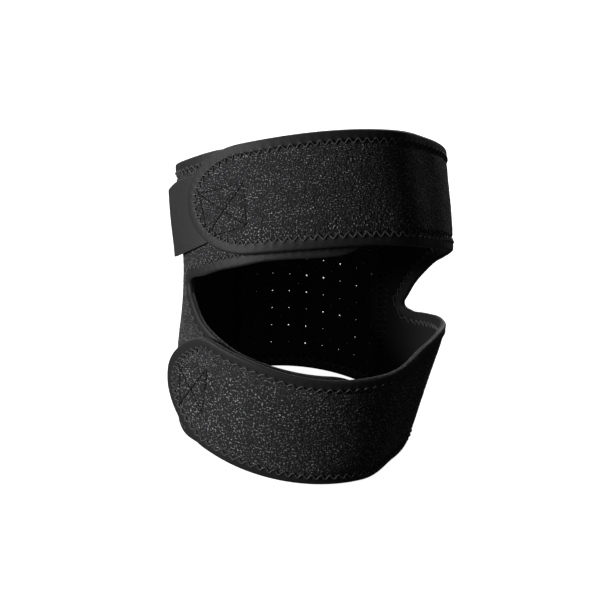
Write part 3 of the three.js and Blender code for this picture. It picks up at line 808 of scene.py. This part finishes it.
def seam_places(seam, count):
    """Heights up a seam beside the panel."""
    beside_panel = 0 if seam is RIGHT_SEAM else PANEL[2]
    return panel_place(np.full(count, beside_panel), np.linspace(0, PANEL[1], count))[1]


def make_seam(seam):
    """The narrow strip between the panel and a wing, pinched along its middle."""
    heights = seam_places(seam, 140)
    reach = seam_half(seam) * (1 - 0.2 * SEAM_GAP / SEAM_WIDTH)
    shares = np.linspace(-1, 1, 11)
    turns = seam_turn(seam, heights)[:, None] + reach * shares
    from_edge = stretch(on_leg(turns[:, 5], heights, 0))
    hem = half_cloth(np.minimum(from_edge, from_edge[-1] - from_edge)) / (CLOTH / 2)
    half = SEAM_CLOTH / 2 * (0.75 + 0.25 * shares**2) * hem[:, None]
    flat = np.stack(np.broadcast_arrays(shares * SEAM_WIDTH / 2, heights[:, None]), -1)
    outer = on_leg(turns, heights[:, None], CLOTH / 2 + half)
    inner = on_leg(turns, heights[:, None], CLOTH / 2 - half)
    surface = Surface()
    surface.shell(outer, inner, flat, ALL_SIDES)
    return surface


def seam_stitches(surface, seam, sizes):
    """Threads that cross a seam on both faces, leaning to and fro."""
    heights = seam_places(seam, 600)
    centre = on_leg(seam_turn(seam, heights), heights, CLOTH / 2)
    along = stretch(centre)
    radius = sizes.thread / 2
    reach = seam_half(seam) * 1.55
    for face in (1, -1):
        stops = np.arange(HEM_WIDTH, along[-1] - HEM_WIDTH, sizes.seam_pitch)
        for n, stop in enumerate(stops):
            tilt = sizes.seam_pitch * (0.5 if n % 2 else -0.5)
            share = np.linspace(-1, 1, 9)
            height = np.interp(stop + share * tilt, along, heights)
            turn = seam_turn(seam, height) + reach * share
            lift = SEAM_CLOTH / 2 + (CLOTH - SEAM_CLOTH) / 2 * smooth((np.abs(share) - 0.5) / 0.3)
            rise = lift + radius * (1 - 2.2 * np.abs(share) ** 6)
            points = on_leg(turn, height, CLOTH / 2 + face * rise)
            surface.tube(thread_rings(points, radius * (1 - 0.4 * share**6), 5))


def make_patch(table, tab):
    """A thin hook patch with rounded edges under a tab."""
    turns = np.linspace(table["turn"][0], table["turn"][-1], 60)
    low = WRAP_HEIGHT * follow(table["turn"], table["low"], turns)
    high = WRAP_HEIGHT * follow(table["turn"], table["high"], turns)
    ease = 1 - np.cos(np.linspace(0, math.pi / 2, 6))
    shares = np.concatenate([ease * 0.03, np.linspace(0.05, 0.95, 28), 1 - ease[::-1] * 0.03])
    spread = np.concatenate([turns[0] + ease * 0.8, turns[1:-1], turns[-1] - ease[::-1] * 0.8])
    low, high = np.interp(spread, turns, low), np.interp(spread, turns, high)
    heights = low[:, None] + (high - low)[:, None] * shares
    turn = np.broadcast_to(spread[:, None], heights.shape)
    scale = scale_at(turn, heights)
    from_side = np.minimum(heights - low[:, None], high[:, None] - heights) * scale[1]
    from_end = np.minimum(turn - spread[0], spread[-1] - turn) * scale[0]
    near = np.clip(np.minimum(from_side, from_end) / (HOOK / 2), 0, 1)
    half = HOOK / 2 * (0.25 + 0.75 * np.sqrt(1 - (1 - near) ** 2))
    middle = patch_middle(table, tab, turn)
    outer = on_leg(turn, heights, middle + half)
    inner = on_leg(turn, heights, middle - half)
    flat = np.stack([turn, heights], -1)
    surface = Surface()
    surface.shell(outer, inner, flat, ALL_SIDES)
    return surface


def patch_middle(table, tab, turn):
    """A hook patch's middle, out from the skin, with its bare end lifting a little more."""
    bare = np.clip((tab["end"] - turn) / (tab["end"] - table["turn"][0]), 0, None)
    return PATCH_MIDDLE + curl_at(turn, tab) + table["bare_curl"] * bare**2


def edge_table(table, column, past):
    """An edge's height past the fork, rounded at the fork's end by the root of the way."""
    return WRAP_HEIGHT * follow(np.sqrt(table["past"]), table[column], np.sqrt(past))


RIGHT_WING = Wing(
    way=-1,
    seam=RIGHT_SEAM,
    seam_turn=RIGHT_SEAM["turn"] - seam_half(RIGHT_SEAM),
    fork=NOTCH_TURN,
    lower=Arm(
        LOWER_TAB,
        lambda turn, past: floor_edge(turn) + strap_rise(turn),
        lambda turn, past: edge_table(NOTCH_EDGES, "lower", past),
        strap_middle(LOWER_TAB),
    ),
    upper=Arm(
        UPPER_TAB,
        lambda turn, past: edge_table(NOTCH_EDGES, "upper", past),
        lambda turn, past: top_edge(turn),
        strap_middle(UPPER_TAB),
    ),
)

LEFT_WING = Wing(
    way=1,
    seam=LEFT_SEAM,
    seam_turn=LEFT_SEAM["turn"] - 360 + seam_half(LEFT_SEAM),
    fork=CROOK_TURN,
    lower=Arm(
        ARM_TAB,
        lambda turn, past: floor_edge(turn) + eased(ARM_RISE, past),
        lambda turn, past: edge_table(CROOK_EDGES, "lower", past),
        flat_middle,
    ),
    upper=Arm(
        ARM_TAB,
        lambda turn, past: edge_table(CROOK_EDGES, "upper", past),
        lambda turn, past: top_edge(turn) - eased(ARM_TUCK, past),
        flat_middle,
    ),
)


class Value:
    """A socket in a shader, whose sums and products add Math nodes."""

    def __init__(self, shader, socket):
        self.shader = shader
        self.socket = socket

    def __add__(self, other):
        return self.shader.maths("ADD", self, other)

    def __sub__(self, other):
        return self.shader.maths("SUBTRACT", self, other)

    def __rsub__(self, other):
        return self.shader.maths("SUBTRACT", other, self)

    def __mul__(self, other):
        return self.shader.maths("MULTIPLY", self, other)

    __radd__ = __add__
    __rmul__ = __mul__


class Shader:
    """A material's nodes, with the finish of its one surface."""

    def __init__(self, name, **finish):
        self.material = bpy.data.materials.new(name)
        self.material.use_nodes = True
        self.tree = self.material.node_tree
        self.surface = self.tree.nodes["Principled BSDF"]
        for socket, value in finish.items():
            self.surface.inputs[socket.replace("_", " ").title().replace("Ior", "IOR")].default_value = value

    def node(self, kind, settings=None, inputs=None, output=0):
        """Adds a node and returns one of its outputs."""
        node = self.tree.nodes.new(kind)
        for name, value in (settings or {}).items():
            setattr(node, name, value)
        for socket, value in (inputs or {}).items():
            self.feed(node.inputs[socket], value)
        return Value(self, node.outputs[output])

    def feed(self, socket, value):
        """Links or sets a socket."""
        if isinstance(value, Value):
            self.tree.links.new(value.socket, socket)
        else:
            socket.default_value = value

    def maths(self, operation, *values):
        """A Math node on values and numbers."""
        return self.node("ShaderNodeMath", {"operation": operation}, dict(enumerate(values)))

    def clamped(self, value):
        """A value held between 0 and 1."""
        return self.node("ShaderNodeClamp", None, {"Value": value})

    def map(self, across=1, up=1):
        """The cloth's flat map in millimetres, times a scale each way."""
        flat = self.node("ShaderNodeUVMap", {"uv_map": "cloth"})
        settings = {"operation": "MULTIPLY"}
        return self.node("ShaderNodeVectorMath", settings, {0: flat, 1: (across, up, 1)})

    def solid_map(self):
        """The object's own coordinates in metres."""
        return self.node("ShaderNodeTexCoord", None, None, "Object")

    def noise(self, vector, scale, detail=2.0, rough=0.5):
        """Noise from 0 to 1."""
        inputs = {"Vector": vector, "Scale": scale, "Detail": detail, "Roughness": rough}
        return self.node("ShaderNodeTexNoise", None, inputs)

    def cells(self, vector, scale, jitter=1.0):
        """Distance from the nearest of a field of cells."""
        inputs = {"Vector": vector, "Scale": scale, "Randomness": jitter}
        return self.node("ShaderNodeTexVoronoi", {"feature": "F1"}, inputs, "Distance")

    def ribs(self, vector, axis, scale, waver=0.0):
        """Straight ribs from 0 to 1 along one way of a map."""
        settings = {"wave_type": "BANDS", "bands_direction": axis, "wave_profile": "SIN"}
        inputs = {"Vector": vector, "Scale": scale, "Distortion": waver, "Detail": 1.0}
        return self.node("ShaderNodeTexWave", settings, inputs, "Fac")

    def blend(self, share, first, second):
        """A colour between two others."""
        settings = {"data_type": "RGBA", "blend_type": "MIX"}
        inputs = {0: share, 6: first, 7: second}
        return self.node("ShaderNodeMix", settings, inputs, 2)

    def finish(self, colour=None, roughness=None, height=None, depth=0.0003, strength=1.0):
        """Feeds what varies over the surface."""
        if colour is not None:
            self.feed(self.surface.inputs["Base Color"], colour)
        if roughness is not None:
            self.feed(self.surface.inputs["Roughness"], roughness)
        if height is not None:
            inputs = {"Height": height, "Distance": depth, "Strength": strength}
            self.feed(self.surface.inputs["Normal"], self.node("ShaderNodeBump", None, inputs))
        return self.material


# Where the painted glints on the loops get coarser, in metres up, the grain of thread and foam, and the
# seams' share of the thread's colour
COARSE_GLINTS_BELOW = 0.062
TWISTS_PER_METRE = 2600
BUBBLES_PER_METRE = 2400
DARK_THREAD = 0.2


def shade(colour, times):
    """A colour made lighter or darker, with its alpha."""
    return tuple(c * times for c in colour[:3]) + (1.0,)


def loop_cloth(colours):
    """Brushed loop cloth: rows of small loops, with painted glints (bright flecks in the colour for loops
    that catch the light), coarser on the lower strap.
    """
    shader = Shader("brushed_loops", sheen_weight=0.08, sheen_roughness=0.5, specular_ior_level=0.3)
    flat = shader.map()
    height = shader.node("ShaderNodeSeparateXYZ", None, {0: shader.solid_map()}, "Z")
    # Mask of the lower strap, below which the painted glints are coarser and denser
    coarse_glints_low = shader.clamped((COARSE_GLINTS_BELOW - height) * 60)
    loops = shader.cells(shader.map(1.15, 1.0), 1.0, 0.85)
    rows = shader.noise(shader.map(0.45, 1.5), 1.0, 2.0)
    fuzz = shader.noise(flat, 1.9, 3.0, 0.65) * 0.55 + rows * 0.45
    patches = shader.noise(flat, 0.05, 2.0)
    # Painted glints: bright flecks painted into the colour as highlights of loops that catch the light;
    # caught is a painted mask of where they show
    fine = shader.clamped((shader.noise(flat, 1.8, 1.0, 0.4) - 0.6) * 10)
    coarse = shader.clamped((shader.noise(flat, 1.15, 1.0, 0.4) - 0.575) * 10)
    glints = fine + (coarse - fine) * coarse_glints_low
    caught = shader.clamped((shader.noise(flat, 0.16, 2.0) - 0.2) * 2.4)
    lit = shader.clamped((fuzz - 0.32) * 2.6)
    ground = shader.blend(lit, shade(colours.cloth, 0.4), shade(colours.cloth, 1.4))
    worn = shader.blend(shader.clamped(patches * 0.5), ground, shade(colours.cloth, 1.5))
    # The painted highlights are mixed over the ground colour here
    colour = shader.blend(glints * caught, worn, tuple(colours.glint) + (1.0,))
    pile = (1 - loops) * 0.6 + rows * 0.35 + fuzz * 0.5
    roughness = 0.92 - glints * 0.35
    return shader.finish(colour, roughness, pile, 0.0007, 1.0)


def lining_cloth(colours):
    """Smooth knitted lining with fine upright ribs."""
    shader = Shader("lining", sheen_weight=0.08, specular_ior_level=0.3)
    flat = shader.map()
    ribs = shader.ribs(flat, "X", 0.45, 0.3)
    grain = shader.noise(flat, 3.0, 2.0)
    colour = shader.blend(grain * 0.6 + ribs * 0.3, shade(colours.lining, 0.6), shade(colours.lining, 1.3))
    return shader.finish(colour, 0.6 + grain * 0.2, ribs * 0.6 + grain * 0.4, 0.00015)


def tape_cloth(colours):
    """Smooth stretch tape with a fine weave along it."""
    shader = Shader("stretch_tape", sheen_weight=0.06, specular_ior_level=0.45)
    flat = shader.map()
    weave = shader.ribs(flat, "Y", 0.9, 0.4) * 0.5 + shader.ribs(flat, "X", 0.7, 0.4) * 0.5
    grain = shader.noise(flat, 0.6, 3.0)
    colour = shader.blend(grain * 0.7 + weave * 0.2, shade(colours.tape, 0.75), shade(colours.tape, 1.3))
    return shader.finish(colour, 0.42 + grain * 0.2, weave * 0.5 + grain * 0.5, 0.00012)


def panel_cloth(colours):
    """Smooth neoprene skin with a fine pebble."""
    shader = Shader("neoprene_skin", specular_ior_level=0.4)
    flat = shader.map()
    pebble = shader.cells(flat, 1.6)
    grain = shader.noise(flat, 0.35, 3.0)
    colour = shader.blend(grain, shade(colours.panel, 0.7), shade(colours.panel, 1.4))
    return shader.finish(colour, 0.5 + grain * 0.2, pebble * 0.6 + grain * 0.4, 0.00015)


def seam_cloth(colours):
    """The flat strip under the seams' threads."""
    shader = Shader("seam_strip", specular_ior_level=0.3)
    grain = shader.noise(shader.map(), 1.5, 3.0)
    colour = shader.blend(grain, shade(colours.panel, 0.5), shade(colours.panel, 1.1))
    return shader.finish(colour, 0.75, grain, 0.0002)


def thread_finish(name, share):
    """Makes twisted shiny thread, at a share of the thread's colour."""

    def make(colours):
        shader = Shader(name, specular_ior_level=0.5)
        twist = shader.noise(shader.solid_map(), TWISTS_PER_METRE)
        dark, light = shade(colours.thread, 0.6 * share), shade(colours.thread, 1.4 * share)
        colour = shader.blend(twist, dark, light)
        return shader.finish(colour, 0.4 + twist * 0.2, twist, 0.0001)

    return make


def core_foam(colours):
    """The cut edge of the padding, under the tape."""
    shader = Shader("core_foam", specular_ior_level=0.3)
    bubbles = shader.cells(shader.solid_map(), BUBBLES_PER_METRE)
    colour = shader.blend(bubbles, shade(colours.lining, 0.5), shade(colours.lining, 1.2))
    return shader.finish(colour, 0.85, bubbles, 0.0001)


def patch_finish(colours):
    """The patch's smooth back with a faint weave."""
    shader = Shader("patch_back", specular_ior_level=0.45)
    flat = shader.map()
    weave = shader.ribs(flat, "X", 0.5, 0.2) * 0.5 + shader.ribs(flat, "Y", 0.5, 0.2) * 0.5
    grain = shader.noise(flat, 0.4, 3.0)
    colour = shader.blend(grain * 0.6 + weave * 0.3, shade(colours.patch, 0.8), shade(colours.patch, 1.2))
    return shader.finish(colour, 0.5 + grain * 0.15, weave * 0.7 + grain * 0.3, 0.0001)


FINISHES = {}


def finish_named(name):
    """A material by name, made the first time that it is asked for."""
    makers = {
        "brushed_loops": loop_cloth,
        "lining": lining_cloth,
        "stretch_tape": tape_cloth,
        "neoprene_skin": panel_cloth,
        "seam_strip": seam_cloth,
        "thread": thread_finish("thread", 1),
        "dark_thread": thread_finish("dark_thread", DARK_THREAD),
        "core_foam": core_foam,
        "patch_back": patch_finish,
    }
    if name not in FINISHES:
        FINISHES[name] = makers[name](bpy.context.scene.strap_colours)
    return FINISHES[name]


class StrapSizes(bpy.types.PropertyGroup):
    """Sizes of the tape's and the thread's details, in millimetres."""

    thread: FloatProperty(
        name="Thread",
        description="Thickness of the thread, mm",
        default=0.46,
        min=0.1,
    )
    stitch_pitch: FloatProperty(
        name="Zigzag",
        description="Length of one zigzag stitch, mm",
        default=3.9,
        min=1,
    )
    sewn_pitch: FloatProperty(
        name="Sewn line",
        description="Length of one straight stitch, mm",
        default=2.3,
        min=1,
    )
    seam_pitch: FloatProperty(
        name="Seam",
        description="Space between the seam's threads, mm",
        default=1.5,
        min=0.5,
    )
    tape_step: FloatProperty(
        name="Tape step",
        description="Step along the tape's mesh, mm",
        default=0.8,
        min=0.3,
    )
    tape_pull: FloatProperty(
        name="Tape pull",
        description="How deep a stitch pulls the tape, mm",
        default=0.22,
    )
    roughen: FloatProperty(
        name="Loops",
        description="Unevenness of the loop cloth, mm",
        default=0.05,
        min=0,
    )


class StrapColours(bpy.types.PropertyGroup):
    """Colours of the strap's cloths and threads."""

    cloth: FloatVectorProperty(
        name="Loop cloth",
        description="Ground of the loop cloth",
        subtype="COLOR",
        default=(0.026, 0.026, 0.028),
    )
    # Colour of the painted glints: bright flecks that stand in for highlights on the loops
    glint: FloatVectorProperty(
        name="Loop glints",
        description="Loops that catch the light",
        subtype="COLOR",
        default=(0.5, 0.5, 0.51),
    )
    lining: FloatVectorProperty(
        name="Lining", description="Smooth inside", subtype="COLOR", default=(0.0095, 0.0095, 0.01)
    )
    tape: FloatVectorProperty(
        name="Tape", description="Folded edge tape", subtype="COLOR", default=(0.024, 0.024, 0.0255)
    )
    panel: FloatVectorProperty(
        name="Panel", description="Pierced back panel", subtype="COLOR", default=(0.014, 0.014, 0.0145)
    )
    thread: FloatVectorProperty(
        name="Thread", description="Sewing thread", subtype="COLOR", default=(0.12, 0.12, 0.124)
    )
    patch: FloatVectorProperty(
        name="Hook patch",
        description="Back of the hook patches",
        subtype="COLOR",
        default=(0.042, 0.042, 0.043),
    )


class StrapStage(bpy.types.PropertyGroup):
    """Camera and light."""

    lens: FloatProperty(name="Lens", description="Focal length of the camera, mm", default=133.2)
    distance: FloatProperty(
        name="Distance",
        description="From the camera to the strap",
        default=1.0,
        subtype="DISTANCE",
        unit="LENGTH",
    )
    azimuth: FloatProperty(
        name="Azimuth",
        description="Round the strap from its front",
        default=math.radians(-30.8),
        subtype="ANGLE",
    )
    elevation: FloatProperty(
        name="Elevation", description="Above the floor", default=math.radians(29.5), subtype="ANGLE"
    )
    roll: FloatProperty(
        name="Roll", description="Lean of the strap in the picture", default=math.radians(10), subtype="ANGLE"
    )
    key: FloatProperty(name="Key light", description="Power of the key light, W", default=6.0)
    fill: FloatProperty(name="Fill", description="Strength of the light all round", default=0.026)


def direction(azimuth, elevation):
    """The way from the strap towards a camera or light."""
    level = math.cos(elevation)
    return Vector((math.sin(azimuth) * level, -math.cos(azimuth) * level, math.sin(elevation)))


class STRAP_OT_stage(bpy.types.Operator):
    """Add the floor, the lights and the camera"""

    bl_idname = "strap.stage"
    bl_label = "Stage"

    def execute(self, context):
        stage = context.scene.strap_stage
        aim = Vector(AIM) * MM
        self.camera(context, stage, aim)
        self.lights(context, stage, aim)
        self.world(context, stage)
        self.floor(context)
        context.scene.view_settings.view_transform = "Standard"
        return {"FINISHED"}

    def camera(self, context, stage, aim):
        """The camera at the fitted angle, turned by the roll."""
        lens = bpy.data.cameras.new("camera")
        lens.lens = stage.lens
        lens.sensor_width = 36
        lens.shift_x = (PICTURE / 2 - AIM_PIXEL[0]) / PICTURE
        lens.shift_y = (AIM_PIXEL[1] - PICTURE / 2) / PICTURE
        lens.clip_start = 0.05
        camera = bpy.data.objects.new("camera", lens)
        way = direction(stage.azimuth, stage.elevation)
        facing = (-way).to_track_quat("-Z", "Y").to_matrix()
        turned = facing @ Matrix.Rotation(stage.roll, 3, "Z")
        camera.matrix_world = Matrix.Translation(aim + way * stage.distance) @ turned.to_4x4()
        context.scene.collection.objects.link(camera)
        context.scene.camera = camera

    def lights(self, context, stage, aim):
        """The lamps, all turned towards the strap."""
        for name, (azimuth, elevation, distance, size, share) in LAMPS.items():
            lamp = bpy.data.lights.new(name, "AREA")
            lamp.shape = "DISK"
            lamp.size = size
            lamp.energy = stage.key * share
            holder = bpy.data.objects.new(name, lamp)
            way = direction(math.radians(azimuth), math.radians(elevation))
            holder.location = aim + way * distance
            holder.rotation_mode = "QUATERNION"
            holder.rotation_quaternion = (-way).to_track_quat("-Z", "Y")
            context.scene.collection.objects.link(holder)

    def world(self, context, stage):
        """A surround that shows white and lights the strap only faintly."""
        world = bpy.data.worlds.new("surround")
        world.use_nodes = True
        tree = world.node_tree
        ground = tree.nodes["Background"]
        ground.inputs["Color"].default_value = (1, 1, 1, 1)
        seen = tree.nodes.new("ShaderNodeMapRange")
        seen.inputs["To Min"].default_value = stage.fill
        seen.inputs["To Max"].default_value = 1
        rays = tree.nodes.new("ShaderNodeLightPath")
        tree.links.new(rays.outputs["Is Camera Ray"], seen.inputs["Value"])
        tree.links.new(seen.outputs["Result"], ground.inputs["Strength"])
        context.scene.world = world

    def floor(self, context):
        """A pale floor that glows white and keeps only a trace of shadow."""
        mesh = bpy.data.meshes.new("floor")
        corners = [(FLOOR_REACH * x, FLOOR_REACH * y, 0) for x, y in ((-1, -1), (1, -1), (1, 1), (-1, 1))]
        mesh.from_pydata(corners, [], [(0, 1, 2, 3)])
        shader = Shader("floor", specular_ior_level=0.0, roughness=1.0)
        cloud = shader.noise(shader.solid_map(), 2.0, 1.0)
        colour = shader.blend(cloud, (0.92, 0.92, 0.92, 1), (0.95, 0.95, 0.95, 1))
        shader.feed(shader.surface.inputs["Emission Color"], (1, 1, 1, 1))
        shader.surface.inputs["Emission Strength"].default_value = FLOOR_GLOW
        mesh.materials.append(shader.finish(colour))
        floor = bpy.data.objects.new("floor", mesh)
        floor.visible_diffuse = False
        floor.visible_glossy = False
        context.scene.collection.objects.link(floor)


WING_PATHS = {}


def wing_piece(name, wing, lines, roughen, replaced):
    """A wing's sheet of cloth, with its path kept for what comes after."""
    surface, path, middles, area = make_wing(wing, lines, roughen)
    WING_PATHS[name] = (path, middles)
    materials = [finish_named(kind) for kind in ("brushed_loops", "lining", "core_foam")]
    surface.piece(name, materials, "loop_cloth", replaced)
    reach = max(abs(arm.tab["end"] - wing.seam_turn) for arm in (wing.lower, wing.upper))
    length = reach * float(scale_at(0, SEAM_HEIGHT)[0])
    width = float(top_edge(0))
    length * MM
    min(area, width * length) * MM * MM


class STRAP_OT_wings(bpy.types.Operator):
    """Add the two wings of loop cloth"""

    bl_idname = "strap.wings"
    bl_label = "Wings"

    def execute(self, context):
        roughen = context.scene.strap_sizes.roughen
        lines = box_lines(UPPER_BOX) + box_lines(LOWER_BOX)
        wing_piece("loop_straps", RIGHT_WING, lines, roughen, ("right_wing_straps",))
        wing_piece("loop_arms", LEFT_WING, [], roughen, ("left_wing",))
        return {"FINISHED"}


class STRAP_OT_panel(bpy.types.Operator):
    """Add the pierced panel behind the knee"""

    bl_idname = "strap.panel"
    bl_label = "Panel"

    def execute(self, context):
        surface = make_panel()
        surface.piece("pierced_panel", [finish_named("neoprene_skin")], "pierced_cloth", ("back_panel",))
        _, length, width = PANEL
        width * MM
        length * MM
        width * length * MM * MM
        return {"FINISHED"}


class STRAP_OT_seams(bpy.types.Operator):
    """Add the two flat seams and their threads"""

    bl_idname = "strap.seams"
    bl_label = "Seams"

    def execute(self, context):
        cloth = [finish_named("seam_strip")]
        threads = Surface()
        for name, seam in (("right_seam", RIGHT_SEAM), ("left_seam", LEFT_SEAM)):
            make_seam(seam).piece(name, cloth, "seam_tape", (name + "_strip",))
            seam_stitches(threads, seam, context.scene.strap_sizes)
        threads.piece("seam_threads", [finish_named("dark_thread")], "seam_tape")
        return {"FINISHED"}


def panel_edge(up):
    """The path of the tape over the panel's lower or upper edge, with the cloth on its left."""
    _, _, width = PANEL
    across = np.linspace(0, width, 60)
    turn, height = panel_place(across, np.full(60, up))
    over = 2 - GAP / (SEAM_WIDTH / 2)
    first = turn[0] - over * seam_half(RIGHT_SEAM)
    last = turn[-1] + over * seam_half(LEFT_SEAM)
    turn = np.concatenate([[first], turn, [last]])
    height = np.concatenate([height[:1], height, height[-1:]])
    path = np.stack([turn, height, np.zeros_like(turn)], 1)
    return path[::-1] if up > 0 else path


class STRAP_OT_tapes(bpy.types.Operator):
    """Add the folded tape round every bound edge, with its stitches"""

    bl_idname = "strap.tapes"
    bl_label = "Tapes"

    def execute(self, context):
        sizes = context.scene.strap_sizes
        thread = [finish_named("thread")]
        tape = [finish_named("stretch_tape")]
        straps, strap_middles = WING_PATHS["loop_straps"]
        arms, arm_middles = WING_PATHS["loop_arms"]
        flat = [flat_middle] * 3
        runs = (
            ("strap_tape", straps[::-1], strap_middles, "strap_binding"),
            ("arm_tape", arms, arm_middles, "left_wing_binding"),
            ("panel_lower_tape", panel_edge(0), flat, "panel_lower_binding"),
            ("panel_upper_tape", panel_edge(PANEL[1]), flat, "panel_upper_binding"),
        )
        for name, path, middles, node in runs:
            surface = make_tape(path, middles, sizes.tape_step, sizes.stitch_pitch, sizes.tape_pull)
            surface.piece(name, tape, "edge_tape", (node,))
            threads = Surface()
            for face in (1, -1):
                overlock(threads, path, middles, face, sizes)
            threads.piece(name + "_threads", thread, "edge_tape")
        return {"FINISHED"}


class STRAP_OT_patches(bpy.types.Operator):
    """Add the hook patches and the sewn boxes on the tabs"""

    bl_idname = "strap.patches"
    bl_label = "Patches"

    def execute(self, context):
        sizes = context.scene.strap_sizes
        finish = [finish_named("patch_back")]
        make_patch(UPPER_PATCH, UPPER_TAB).piece("upper_patch", finish, "hook_patch", ("upper_hook_patch",))
        make_patch(LOWER_PATCH, LOWER_TAB).piece("lower_patch", finish, "hook_patch", ("lower_hook_patch",))
        threads = Surface()
        for corners, tab in ((UPPER_BOX, UPPER_TAB), (LOWER_BOX, LOWER_TAB)):
            middle = strap_middle(tab)
            for start, end in box_lines(corners):
                sewn_line(threads, start, end, middle, sizes)
        threads.piece("tab_threads", [finish_named("dark_thread")], "loop_cloth")
        return {"FINISHED"}


class STRAP_OT_sheets(bpy.types.Operator):
    bl_idname = "strap.sheets"
    bl_label = "Sheets"

    def execute(self, context):
        return {"FINISHED"}


class STRAP_PT_panel(bpy.types.Panel):
    """The strap's steps, sizes and colours"""

    bl_idname = "STRAP_PT_panel"
    bl_label = "Patella strap"
    bl_space_type = "VIEW_3D"
    bl_region_type = "UI"
    bl_category = "Strap"

    def draw(self, context):
        layout = self.layout
        for operator in STEPS:
            layout.operator(operator.bl_idname)
        for group in ("strap_sizes", "strap_colours", "strap_stage"):
            values = getattr(context.scene, group)
            for name in values.bl_rna.properties.keys():
                if name not in ("rna_type", "name"):
                    layout.prop(values, name)


STEPS = (
    STRAP_OT_stage,
    STRAP_OT_wings,
    STRAP_OT_panel,
    STRAP_OT_seams,
    STRAP_OT_tapes,
    STRAP_OT_patches,
    STRAP_OT_sheets,
)
GROUPS = {"strap_sizes": StrapSizes, "strap_colours": StrapColours, "strap_stage": StrapStage}


def register():
    """Adds the classes and the scene's values."""
    for kind in (*GROUPS.values(), *STEPS, STRAP_PT_panel):
        bpy.utils.register_class(kind)
    for name, group in GROUPS.items():
        setattr(bpy.types.Scene, name, PointerProperty(type=group))


def unregister():
    """Takes the classes and the scene's values away again."""
    for name in GROUPS:
        delattr(bpy.types.Scene, name)
    for kind in (STRAP_PT_panel, *reversed(STEPS), *GROUPS.values()):
        bpy.utils.unregister_class(kind)


def main():
    """Builds everything."""
    register()
    for step in STEPS:
        group, name = step.bl_idname.split(".")
        getattr(getattr(bpy.ops, group), name)()
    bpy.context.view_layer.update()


if __name__ == "__main__":
    main()
